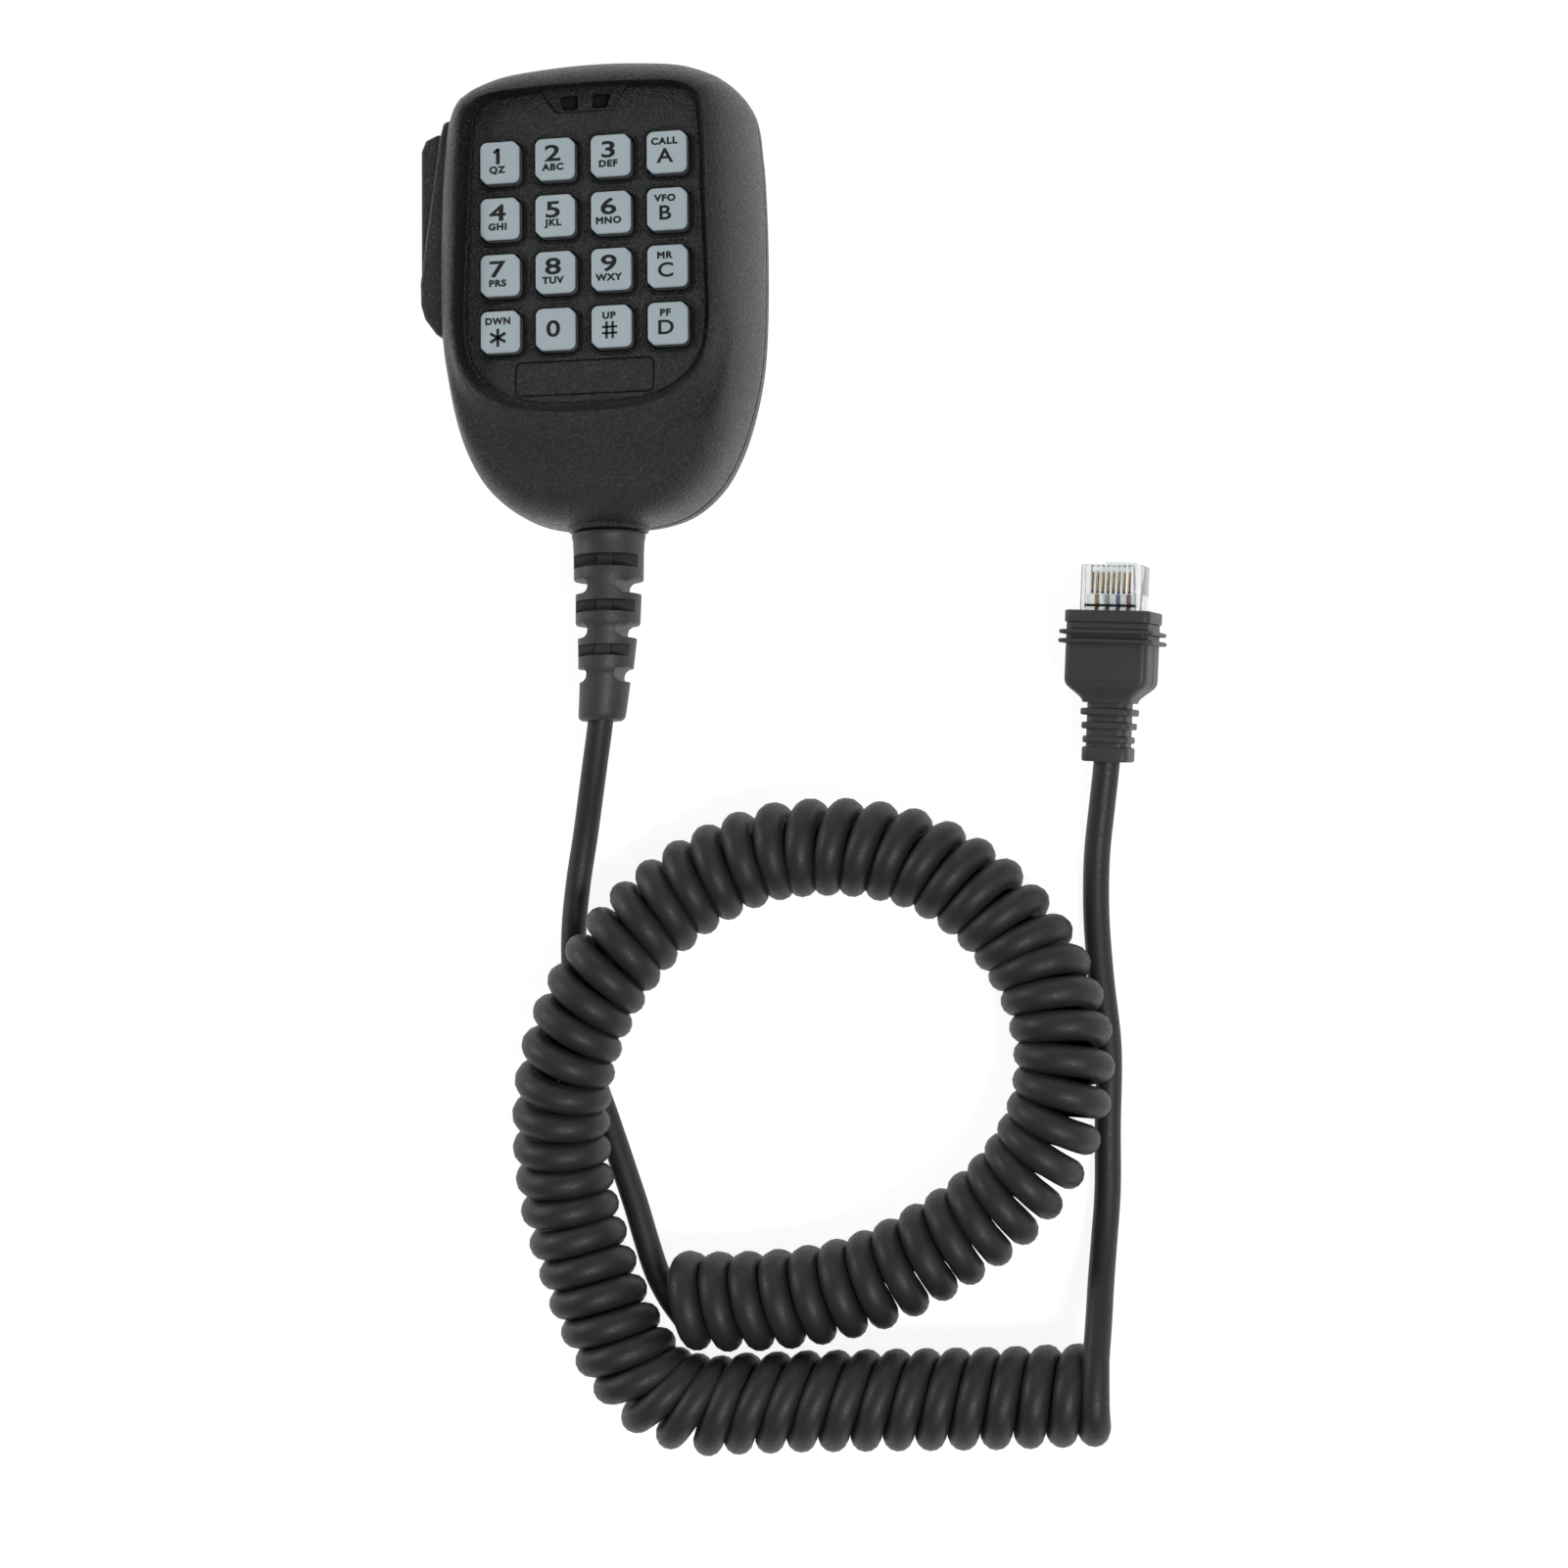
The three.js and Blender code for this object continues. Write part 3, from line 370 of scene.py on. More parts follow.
def noisy_surface(name, noise_settings, dark, light, rough, depth):
    """A material whose colour, roughness and bumps all follow one noise; and its shader."""
    material, tree, shader = nodes_of(name)
    noise = object_noise(tree, *noise_settings)
    tinted(tree, shader, noise, dark, light)
    tree.links.new(ranged(tree, noise, *rough), shader.inputs["Roughness"])
    bumped(tree, shader, noise, depth)
    return material, shader


def metal(name, color, roughness):
    scratches = (900.0, 2.0, (1.0, 6.0, 1.0))
    dark = [c * 0.85 for c in color]
    rough = (roughness - 0.07, roughness + 0.1)
    material, shader = noisy_surface(name, scratches, dark, color, rough, 0.000004)
    shader.inputs["Metallic"].default_value = 1.0
    return material


def clear_plastic(name):
    dark, light = (0.86, 0.9, 0.9), (0.95, 0.97, 0.97)
    material, shader = noisy_surface(name, (260.0,), dark, light, (0.01, 0.05), 0.000006)
    shader.inputs["Transmission Weight"].default_value = 0.92
    shader.inputs["IOR"].default_value = 1.5
    return material


def printed_board(name):
    dark, light = (0.012, 0.09, 0.035), (0.02, 0.14, 0.055)
    return noisy_surface(name, (1800.0, 2.0), dark, light, (0.3, 0.45), 0.00001)[0]


def woven_felt(name):
    fibres = (5200.0, 4.0, (1.0, 3.0, 1.0))
    dark, light = (0.004, 0.004, 0.004), (0.014, 0.014, 0.014)
    return noisy_surface(name, fibres, dark, light, (0.95, 0.95), 0.00005)[0]


# Slot: dark colour, light colour, roughness, grain in cells per metre, depth of the grain in metres.
PLASTICS = {
    "key_grey": ((0.45, 0.54, 0.575), (0.49, 0.58, 0.615), 0.4, 2400.0, 0.000006),
    # key_side_shade: a darker copy of the key grey for the keys' sides, painted shade for the dark gap round each
    # key.
    "key_side_shade": ((0.1, 0.115, 0.125), (0.13, 0.145, 0.155), 0.45, 2400.0, 0.000006),
    "rubber_black": ((0.044, 0.044, 0.044), (0.051, 0.051, 0.051), 0.5, 2600.0, 0.00002),
    "cord_black": ((0.018, 0.018, 0.018), (0.0225, 0.0225, 0.022), 0.52, 1500.0, 0.000012),
    "legend_black": ((0.008, 0.008, 0.009), (0.014, 0.014, 0.015), 0.5, 2400.0, 0.000004),
    "silicone_pale": ((0.52, 0.54, 0.55), (0.6, 0.62, 0.63), 0.6, 900.0, 0.00001),
    "component_black": ((0.008, 0.008, 0.008), (0.014, 0.014, 0.014), 0.4, 3000.0, 0.00001),
    "nylon_white": ((0.72, 0.7, 0.62), (0.8, 0.78, 0.7), 0.42, 1200.0, 0.000008),
}
SHELL_DARK, SHELL_LIGHT = (0.0075, 0.0075, 0.0077), (0.0105, 0.0105, 0.0108)
# Colour of the pale dots painted on the shell: painted glints.
SHELL_GLINT_COLOUR = (0.032, 0.032, 0.033)
METALS = {
    "contact_gold": ((0.78, 0.55, 0.32), 0.3),
    "screw_steel": ((0.5, 0.51, 0.52), 0.35),
    "capsule_aluminium": ((0.7, 0.71, 0.72), 0.3),
}
WIRE_COLOURS = {
    "wire_orange": (0.8, 0.35, 0.03),
    "wire_white": (0.62, 0.62, 0.6),
    "wire_blue": (0.05, 0.16, 0.5),
    "wire_red": (0.42, 0.06, 0.03),
}


def make_materials():
    made = {
        "shell_black": grained_plastic("shell_black", SHELL_DARK, SHELL_LIGHT, 0.4, 1900.0, 0.0004,
                                       spread=0.12, painted_glint=SHELL_GLINT_COLOUR),
        "clear_plastic": clear_plastic("clear_plastic"),
        "board_green": printed_board("board_green"),
        "felt_black": woven_felt("felt_black"),
    }
    for name, settings in PLASTICS.items():
        made[name] = grained_plastic(name, *settings)
    for name, settings in METALS.items():
        made[name] = metal(name, *settings)
    for wire, color in WIRE_COLOURS.items():
        light = tuple(min(1.0, c * 1.2 + 0.01) for c in color)
        made[wire] = grained_plastic(wire, color, light, 0.4, 1600.0, 0.000005)
    return made


# ---- mesh building
def piece(name, geometry, slot, sharp=32.0, body=ROOT, replaced=(), material=None, at=None):
    """A finished piece from (points in millimetres, faces), about the keypad's centre or at a place.

    The slot also names its material, unless another is given. Edges above sharp degrees stay crisp.
    """
    points, faces = geometry
    points = np.asarray(points, float) + (KEYPAD if at is None else at)
    mesh = bpy.data.meshes.new(name)
    mesh.from_pydata([tuple(p) for p in points * MM], [], [list(f) for f in faces])
    mesh.validate()
    face_outwards(mesh)
    mesh.polygons.foreach_set("use_smooth", [True] * len(mesh.polygons))
    mesh.set_sharp_from_angle(angle=math.radians(sharp))
    mesh.materials.append(MATERIALS[material or slot])
    obj = placed(name, mesh)
    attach(obj, body)
    if replaced:
        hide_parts(*replaced)
    return obj


def face_outwards(mesh):
    turned = bmesh.new()
    turned.from_mesh(mesh)
    bmesh.ops.recalc_face_normals(turned, faces=turned.faces)
    turned.to_mesh(mesh)
    turned.free()


def loft(rings, caps=True):
    """Skins closed rings of equal point counts; each end is closed with one face."""
    count = len(rings[0])
    points = np.vstack(rings)
    faces = []
    for level in range(len(rings) - 1):
        base = level * count
        for i in range(count):
            j = (i + 1) % count
            faces.append((base + i, base + j, base + count + j, base + count + i))
    if caps:
        faces.append(tuple(range(count))[::-1])
        top = (len(rings) - 1) * count
        faces.append(tuple(range(top, top + count)))
    return points, faces


def flat_ring(outline, z):
    return np.array([(x, y, z) for x, y in outline])


def sides_at(points, i):
    """Unit vectors along the polygon's sides into a corner and out of it."""
    into = points[i] - points[i - 1]
    out_of = points[(i + 1) % len(points)] - points[i]
    return into / np.linalg.norm(into), out_of / np.linalg.norm(out_of)


def rounded(points, radii, steps=5):
    """An anticlockwise polygon with its corners rounded, each as steps + 1 points."""
    points = np.array(points, float)
    out = []
    for i, corner in enumerate(points):
        into, after = sides_at(points, i)
        before = -into
        half = math.acos(np.clip(before @ after, -1, 1)) / 2
        radius = radii[i] if isinstance(radii, (list, tuple)) else radii
        reach = radius / math.tan(half)
        middle = corner + (before + after) / np.linalg.norm(before + after) * radius / math.sin(half)
        start = corner + before * reach - middle
        stop = corner + after * reach - middle
        first = math.atan2(start[1], start[0])
        turn = (math.atan2(stop[1], stop[0]) - first + math.pi) % (2 * math.pi) - math.pi
        for k in range(steps + 1):
            angle = first + turn * k / steps
            out.append(middle + radius * np.array([math.cos(angle), math.sin(angle)]))
    return np.array(out)


def inset(points, amount):
    """An anticlockwise polygon with each side moved inwards."""
    points = np.array(points, float)
    out = []
    for i, corner in enumerate(points):
        into, out_of = sides_at(points, i)
        normal = np.array([-into[1], into[0]])
        mitre = normal + np.array([-out_of[1], out_of[0]])
        mitre /= max(mitre @ normal, 1e-6)
        out.append(corner + mitre * amount)
    return np.array(out)


def rounded_prism(points, radii, low, high, edge=0.5, edge_steps=4, round_bottom=True):
    """A prism of a rounded outline, with its top edge rounded too, and its bottom edge unless told."""
    rings = []
    full = shrunk(points, radii, 0.0)
    if round_bottom:
        for k in range(edge_steps):
            angle = math.pi / 2 * k / edge_steps
            outline = shrunk(points, radii, edge * (1 - math.sin(angle)))
            rings.append(flat_ring(outline, low + edge * (1 - math.cos(angle))))
        rings.append(flat_ring(full, low + edge))
    else:
        rings.append(flat_ring(full, low))
    for k in range(edge_steps + 1):
        angle = math.pi / 2 * k / edge_steps
        outline = shrunk(points, radii, edge * (1 - math.cos(angle)))
        rings.append(flat_ring(outline, high - edge * (1 - math.sin(angle))))
    return loft(rings)


def shrunk(points, radii, amount, steps=5):
    """The rounded outline moved inwards; its corner radii shrink with it, but not to nothing."""
    if isinstance(radii, (list, tuple)):
        radii = [max(r - amount, 0.05) for r in radii]
    else:
        radii = max(radii - amount, 0.05)
    return rounded(inset(points, amount), radii, steps)


def box_outline(x_low, x_high, y_low, y_high):
    return [(x_low, y_low), (x_high, y_low), (x_high, y_high), (x_low, y_high)]


def lathe(profile, sides=64):
    """A turned piece about Z from (radius, z) pairs, bottom first; closed at both ends."""
    angles = np.linspace(0, 2 * math.pi, sides, endpoint=False)
    rings = [
        np.stack([r * np.cos(angles), r * np.sin(angles), np.full(sides, z)], axis=1)
        for r, z in profile
    ]
    return loft(rings)


def moved(geometry, offset=(0, 0, 0), matrix=None):
    """The geometry turned by the matrix, then shifted."""
    points, faces = geometry
    points = np.asarray(points, float)
    if matrix is not None:
        points = points @ np.array(matrix, float).T
    return points + np.array(offset, float), faces


Z_TO_Y = ((1, 0, 0), (0, 0, 1), (0, -1, 0))  # turns a piece about Z into one about Y
Z_TO_X = ((0, 0, 1), (0, 1, 0), (1, 0, 0))  # and this into one along X, mirrored
Z_TO_X_TURNED = ((0, 0, 1), (0, 1, 0), (-1, 0, 0))


def bar(radius, x, z, low_y, high_y, sides=48):
    return moved(lathe([(radius, low_y), (radius, high_y)], sides), (x, 0, z), Z_TO_Y)


def post(radius, x, y, low, high, sides=40):
    return moved(lathe([(radius, low), (radius, high)], sides), (x, y, 0))


def block(low, high):
    """A box between two opposite corners."""
    outline = box_outline(low[0], high[0], low[1], high[1])
    return loft([flat_ring(outline, z) for z in (low[2], high[2])])


def temporary(geometry):
    points, faces = geometry
    mesh = bpy.data.meshes.new("temporary")
    mesh.from_pydata([tuple(p) for p in np.asarray(points, float)], [], [list(f) for f in faces])
    face_outwards(mesh)
    return placed("temporary", mesh)


def taken_from(obj):
    """(points, faces) of an object as it stands with its modifiers."""
    depsgraph = bpy.context.evaluated_depsgraph_get()
    mesh = bpy.data.meshes.new_from_object(obj.evaluated_get(depsgraph))
    points = np.array([v.co[:] for v in mesh.vertices])
    faces = [tuple(p.vertices) for p in mesh.polygons]
    bpy.data.meshes.remove(mesh)
    return points, faces


def carved(base, cuts=(), joins=()):
    """(points, faces) of the base with every join added, and then every cut taken away."""
    target = temporary(base)
    tools = []
    for operation, parts in (("UNION", joins), ("DIFFERENCE", cuts)):
        for part in parts:
            modifier = target.modifiers.new("carve", "BOOLEAN")
            modifier.object = temporary(part)
            modifier.operation = operation
            modifier.solver = "EXACT"
            tools.append(modifier.object)
    points, faces = taken_from(target)
    for obj in [target] + tools:
        data = obj.data
        bpy.data.objects.remove(obj)
        bpy.data.meshes.remove(data)
    return points, faces


# ---- shells
# Right halves of outlines seen from above, top centre to bottom centre, about the keypad's centre.
PANEL_HALF = [
    (0, 29.4), (10, 29.2), (17.8, 28.5), (21, 26.8), (22.2, 18), (22.6, 8), (23.2, -6), (23.3, -16),
    (22, -21.8), (19.3, -25.4), (15, -28.2), (9.5, -29.6), (0, -30.1),
]
CREST_HALF = [
    (0, 30), (10, 29.8), (18.6, 29), (22.9, 27), (24.2, 18), (24.5, 6), (24.8, -6), (24.8, -16),
    (23.6, -23), (20.6, -27.4), (16, -30.4), (10, -32), (0, -32.5),
]
PARTING_HALF = [
    (0, 38.0), (9, 37.6), (18, 36.4), (24.2, 33.8), (28.7, 29.2), (30.2, 21), (30.9, 10), (31.1, -2),
    (30.9, -12), (30.2, -21), (28.5, -29.4), (25.7, -37.6), (21.9, -44), (16.2, -48.8), (9.6, -50.9),
    (0, -51.2),
]
CENTRE_Y = -6.0
SIDES = 240
ANGLES = np.linspace(0, 2 * math.pi, SIDES, endpoint=False)


def smoothstep(value, low, high):
    """0 below low, 1 above high, and a smooth climb between them."""
    t = np.clip((value - low) / (high - low), 0, 1)
    return t * t * (3 - 2 * t)


CHIN = smoothstep(-np.sin(ANGLES), 0.2, 0.8)  # share of the chin's shape at each angle
TOP = smoothstep(np.sin(ANGLES), 0.45, 0.95)  # and of the top's
SCOOP = 1.7  # depth of the hollow across the chin
FLANK_SLOPE = 0.13  # share of the flank's height that falls evenly from the crest to the parting line
CREST_Z = KEY_TOP_Z + 2.4 * (1 - CHIN - TOP) + 0.8 * CHIN + 1.2 * TOP


def radii_of(half):
    """Distance from the sampling centre to a mirrored outline, at each angle."""
    loop = list(half) + [(-x, y) for x, y in half[1:-1][::-1]]
    wrapped = [np.array([x, y - CENTRE_Y, 0.0]) for x, y in loop[-3:] + loop + loop[:4]]
    dense = catmull(wrapped, 0.25)[:, :2]
    angle = np.arctan2(dense[:, 1], dense[:, 0])
    radius = np.hypot(dense[:, 0], dense[:, 1])
    order = np.argsort(angle)
    angle, radius = angle[order], radius[order]
    angle = np.concatenate([angle - 2 * math.pi, angle, angle + 2 * math.pi])
    return np.interp((ANGLES + math.pi) % (2 * math.pi) - math.pi, angle, np.tile(radius, 3))


PANEL = radii_of(PANEL_HALF)
CREST = radii_of(CREST_HALF)
PARTING = radii_of(PARTING_HALF)


def ring(radii, z):
    """A ring of points round the shell, at one level or at a level for each angle."""
    z = np.broadcast_to(z, radii.shape)
    return np.stack([radii * np.cos(ANGLES), CENTRE_Y + radii * np.sin(ANGLES), z], axis=1)


def flank_rings(outer, inner, low, high, steps):
    """Rings of the rounded flank, outermost first; its section is a superellipse quarter."""
    rings = []
    bottom = smoothstep(-np.sin(ANGLES), 0.5, 1.0)
    power = 2 / (2.0 + 2.2 * bottom)
    ridge = 0.62 + 0.24 * bottom
    for step in range(steps + 1):
        turn = (1 - step / steps) * math.pi / 2
        out = math.sin(turn) ** power
        down = FLANK_SLOPE * out + (1 - FLANK_SLOPE) * (1 - max(math.cos(turn), 0.0) ** power)
        scoop = SCOOP * CHIN * np.sin(math.pi * np.clip(out / ridge, 0, 1)) ** 2
        rings.append(ring(inner + (outer - inner) * out, high - (high - low) * down - scoop))
    return rings


KEY_PITCH = 10.75
KEY_PLACES = {
    name: ((column - 1.5) * KEY_PITCH, (1.5 - row) * KEY_PITCH)
    for row, names in enumerate(KEY_ROWS)
    for column, name in enumerate(names)
}
KEY_HALF = (3.85, 4.0)
KEY_EDGE = 0.4  # radius of the top edge
KEY_CUT = 1.15
KEY_ROUND = 1.3
KEY_SKIRT_Z = 31.0
# The hole round a key, from below: how far it clears the key, and its level against the panel.
DISH = [
    (0.32, -0.62), (0.36, -0.46), (0.46, -0.36), (0.62, -0.3), (0.85, -0.22), (1.05, -0.11),
    (1.16, -0.02), (1.24, 0.25),
]


def key_outline(grow, steps=5):
    """A key seen from above: cut at the top right and bottom left, rounded at the others."""
    x, y = KEY_HALF[0] + grow, KEY_HALF[1] + grow
    cut = KEY_CUT + 0.586 * grow
    tight = max(0.9 + grow, 0.1)
    full = max(KEY_ROUND + grow, 0.2)
    points = [(x, -y), (x, y - cut), (x - cut, y), (-x, y), (-x, -y + cut), (-x + cut, -y)]
    return rounded(points, [full, tight, tight, full, tight, tight], steps)


def key_hole(x, y):
    """A cutter for a hole with a shallow dish round its mouth."""
    rings = [flat_ring(key_outline(DISH[0][0]), PANEL_UNDER_Z - 2.5)]
    rings += [flat_ring(key_outline(clearance), PANEL_Z + level) for clearance, level in DISH]
    return moved(loft(rings), (x, y, 0))


def flared_hole(points, radius, bottom, top, lip=0.3, steps=4):
    """A cutter with upright walls that flare in a quarter round at the surface."""
    rings = [flat_ring(shrunk(points, radius, 0.0, steps), bottom)]
    for k in range(5):
        angle = math.pi / 2 * k / 4
        ring_at = shrunk(points, radius, -lip * (1 - math.cos(angle)), steps)
        rings.append(flat_ring(ring_at, top - lip * (1 - math.sin(angle))))
    rings.append(flat_ring(shrunk(points, radius, -lip * 1.02, steps), top + 1.0))
    return loft(rings)


BADGE = (-13.3, 13.0, -28.2, -22.1)
BADGE_GROOVE = 0.24
SOUND_SLOTS = (
    [(-4.2, 25.9), (-1.4, 25.9), (-1.4, 28.5), (-4.9, 28.5)],
    [(1.5, 25.9), (4.3, 25.9), (5.0, 28.5), (1.5, 28.5)],
)
SOUND_RECESS = [(-5.4, 25.3), (5.4, 25.3), (9.0, 30.4), (-9.0, 30.4)]
# How far the recess has shrunk, and its level against the panel, from its floor up.
RECESS_LEVELS = [(0.25, -0.62), (0.15, -0.6), (0.0, -0.45), (-0.3, 0.0), (-0.45, 0.6)]
# The step from the crest down to the panel: shares of the rim's width, with the drop below the crest
# in the first list and the level against the panel in the second.
CREST_STEPS = [(0.1, 0.0), (0.2, 0.05), (0.28, 0.17), (0.33, 0.36)]
PANEL_STEPS = [(0.24, 0.5), (0.2, 0.12), (0.17, -0.32), (-0.08, -0.34), (-0.17, -0.1), (-0.3, 0.0)]
GUARD_OUTLINE = [
    (-26.8, -15.6), (-26.8, 27.4), (-29.4, 26.8), (-30.3, 23.4), (-34.1, -4.3), (-34.0, -8.5),
    (-33.2, -11.2), (-30.8, -14.4),
]
GUARD_RADII = [0.2, 0.2, 1.0, 1.2, 1.6, 1.6, 1.6, 1.2]
GUARD_HIGH_Z = 28.4
PTT_LOW_Z, PTT_HIGH_Z = span("ptt_button")[0][2], span("ptt_button")[1][2]
NECK_Z = 16.7
NECK_END_Y = -51.9
NECK_RADIUS = 7.65
# The neck's outside from its end inwards: how much wider than the neck, and where along Y.
NECK_PROFILE = [
    (-0.3, NECK_END_Y), (0.0, NECK_END_Y + 0.1), (0.3, -51.2), (0.8, -50.5), (1.6, -49.8), (2.8, -49.1),
    (4.0, -48.6), (4.2, -45.0),
]
CASE_SCREWS = [(-21, 25.5), (21, 25.5), (-18.5, -29), (18.5, -29)]
BOARD_SCREWS = [(-12.2, 24.6), (12.2, 24.6), (0, -27.4)]
HEAD_ROOM = (2.8, 7.9)  # radius of the well for a case screw's head, and the level of its end
KNOB_Y = 9


def anticlockwise(points):
    """The same outline, in anticlockwise order."""
    area = sum(a[0] * b[1] - b[0] * a[1] for a, b in zip(points, list(points[1:]) + [points[0]]))
    return list(points) if area > 0 else list(points)[::-1]


def neck_piece(low_z, high_z):
    """The half of the neck between two levels: a round stub with a rounded lip at its end."""
    profile = [(NECK_RADIUS + wider, y) for wider, y in NECK_PROFILE]
    stub = moved(lathe(profile, 96), (0, 0, NECK_Z), Z_TO_Y)
    above = block((-30, -70, high_z), (30, -20, 60))
    below = block((-30, -70, -30), (30, -20, low_z))
    return carved(stub, cuts=[above, below])


def neck_bores():
    """The relief's way through the neck, with a wider groove for its collar."""
    return [bar(5.9, 0, NECK_Z, NECK_END_Y - 3, -40), bar(7.3, 0, NECK_Z, -48.6, -43)]


def front_skin():
    """The closed outside of the front shell: flank, crest, step down and panel."""
    width = CREST - PANEL
    rings = [ring(PARTING - 0.3, PARTING_Z), ring(PARTING - 0.1, PARTING_Z + 0.07)]
    rings += flank_rings(PARTING, CREST, PARTING_Z + 0.3, CREST_Z, 28)
    for share, drop in CREST_STEPS:
        rings.append(ring(CREST - width * share, CREST_Z - drop))
    for share, level in PANEL_STEPS:
        rings.append(ring(PANEL + np.minimum(width, 1.6) * share * 1.2, PANEL_Z + level))
    rings.append(ring(PANEL - 1.5, PANEL_Z))
    return loft(rings)


def panel_cuts():
    """Cutters for the key holes, the sound slots with their recess, and the badge's seat."""
    cuts = [key_hole(x, y) for x, y in KEY_PLACES.values()]
    for slot in SOUND_SLOTS:
        cuts.append(flared_hole(anticlockwise(slot), 0.25, PANEL_UNDER_Z - 2, PANEL_Z - 0.62, 0.15))
    recess = anticlockwise(SOUND_RECESS)
    cuts.append(loft([
        flat_ring(shrunk(recess, 0.5, amount, 4), PANEL_Z + level) for amount, level in RECESS_LEVELS
    ]))
    seat = inset(box_outline(*BADGE), -BADGE_GROOVE)
    cuts.append(flared_hole(seat, 1.1, PANEL_Z - 0.5, PANEL_Z, 0.1))
    return cuts


def front_case():
    hollow = loft([ring(PARTING - WALL, PARTING_Z - 1)]
                  + flank_rings(PARTING - WALL, CREST - 0.3, PARTING_Z, PANEL_UNDER_Z, 10))
    shell = carved(front_skin(), cuts=[hollow])
    guard = rounded_prism(GUARD_OUTLINE, GUARD_RADII, PARTING_Z + 0.02, GUARD_HIGH_Z, edge=0.9,
                          round_bottom=False)
    joins = [guard, neck_piece(PARTING_Z, 60)]
    joins += [post(3, x, y, PARTING_Z, PANEL_UNDER_Z + 0.6) for x, y in CASE_SCREWS]
    joins += [post(2.2, x, y, 26.2, PANEL_UNDER_Z + 0.6) for x, y in BOARD_SCREWS]
    cuts = panel_cuts()
    cuts.append(block((-37, -10.4, PTT_LOW_Z - 0.3), (-26.4, 26.2, PTT_HIGH_Z + 0.3)))
    cuts.append(post(1.1, -30.4, -7.0, PARTING_Z + 0.4, GUARD_HIGH_Z - 0.3, 24))
    cuts += [post(1.4, x, y, PARTING_Z - 1, 24, 24) for x, y in CASE_SCREWS]
    cuts += [post(1.0, x, y, 25, 30.4, 24) for x, y in BOARD_SCREWS]
    cuts += neck_bores()
    return carved(shell, cuts=cuts, joins=joins)


# The rear shell's flank from the back up: how far inside the parting line, and the level.
REAR_STEPS = [(7, BACK_Z), (4, 5.5), (1.9, 7), (0.7, 9.4), (0.15, 12.4), (0, REAR_TOP_Z - 0.25)]


def rear_case():
    profile = catmull([(inset_by, z, 0.0) for inset_by, z in REAR_STEPS], 0.5)
    rings = [ring(PARTING - 8.5, BACK_Z)] + [ring(PARTING - i, z) for i, z, _ in profile]
    rings += [ring(PARTING - 0.08, REAR_TOP_Z - 0.08), ring(PARTING - 0.3, REAR_TOP_Z)]
    outer = loft(rings)
    hollow = loft([ring(PARTING - 8, 7.2), ring(PARTING - 4.4, 9), ring(PARTING - 2.5, 12.6),
                   ring(PARTING - WALL, REAR_TOP_Z + 1)])
    shell = carved(outer, cuts=[hollow])
    joins = [neck_piece(-20, REAR_TOP_Z)]
    joins += [post(3.6, x, y, BACK_Z + 0.4, REAR_TOP_Z) for x, y in CASE_SCREWS]
    radius, end = HEAD_ROOM
    well = lathe([(radius + 0.35, BACK_Z - 1), (radius + 0.35, BACK_Z), (radius + 0.1, BACK_Z + 0.2),
                  (radius, BACK_Z + 0.5), (radius, end)], 48)
    cuts = [moved(well, (x, y, 0)) for x, y in CASE_SCREWS]
    cuts += [post(1.4, x, y, 7, REAR_TOP_Z + 1, 24) for x, y in CASE_SCREWS]
    cuts.append(post(1.6, 0, KNOB_Y, BACK_Z - 1, 8.2, 24))
    cuts += neck_bores()
    return carved(shell, cuts=cuts, joins=joins)


# ---- keys and legends
def key_cap():
    """A key with a wider skirt at its foot and a rounded top edge."""
    skirt = [(0.3, KEY_BOTTOM_Z), (0.3, KEY_SKIRT_Z), (0.22, KEY_SKIRT_Z + 0.1), (0, KEY_SKIRT_Z + 0.1)]
    rings = [flat_ring(key_outline(grow), z) for grow, z in skirt]
    for k in range(6):
        angle = math.pi / 2 * k / 5
        outline = key_outline(-KEY_EDGE * (1 - math.cos(angle)))
        rings.append(flat_ring(outline, KEY_TOP_Z - KEY_EDGE * (1 - math.sin(angle))))
    rings.append(flat_ring(key_outline(-1.3), KEY_TOP_Z))
    return loft(rings)


LEGENDS = {
    "key_1": ("1", "QZ"), "key_2": ("2", "ABC"), "key_3": ("3", "DEF"), "key_a": ("A", "CALL"),
    "key_4": ("4", "GHI"), "key_5": ("5", "JKL"), "key_6": ("6", "MNO"), "key_b": ("B", "VFO"),
    "key_7": ("7", "PRS"), "key_8": ("8", "TUV"), "key_9": ("9", "WXY"), "key_c": ("C", "MR"),
    "key_star": ("*", "DWN"), "key_0": ("0", ""), "key_hash": ("#", "UP"), "key_d": ("D", "PF"),
}
WORD_ABOVE = ("key_a", "key_b", "key_c", "key_d", "key_star", "key_hash")


def text_geometry(text, height, weight, x, y, widen=1.0):
    """Raised lettering centred on a point; height is that of a capital."""
    data = bpy.data.curves.new("text", "FONT")
    data.body = text
    data.size = (height - 2 * weight) / 0.73
    data.bevel_depth = weight
    data.bevel_resolution = 1
    data.extrude = 0.01
    data.space_character = 1.15
    data.resolution_u = 6
    obj = placed("text", data)
    points, faces = taken_from(obj)
    bpy.data.objects.remove(obj)
    bpy.data.curves.remove(data)
    middle = (points.min(axis=0) + points.max(axis=0)) / 2
    points = (points - middle) * (widen, 1, 0.05 / (weight + 0.01))
    return points + (x, y, KEY_TOP_Z), faces


def stroke(start, stop, width):
    """A straight raised line on a key's top."""
    start, stop = np.array(start, float), np.array(stop, float)
    along = (stop - start) / np.linalg.norm(stop - start)
    across = np.array([-along[1], along[0]]) * width / 2
    outline = [start - across, stop - across, stop + across, start + across]
    return loft([flat_ring(outline, KEY_TOP_Z + z) for z in (-0.05, 0.05)])


def joined(parts):
    """Several pieces of geometry as one."""
    points, faces, base = [], [], 0
    for part_points, part_faces in parts:
        points.append(np.asarray(part_points, float))
        faces += [tuple(i + base for i in face) for face in part_faces]
        base += len(part_points)
    return np.vstack(points), faces


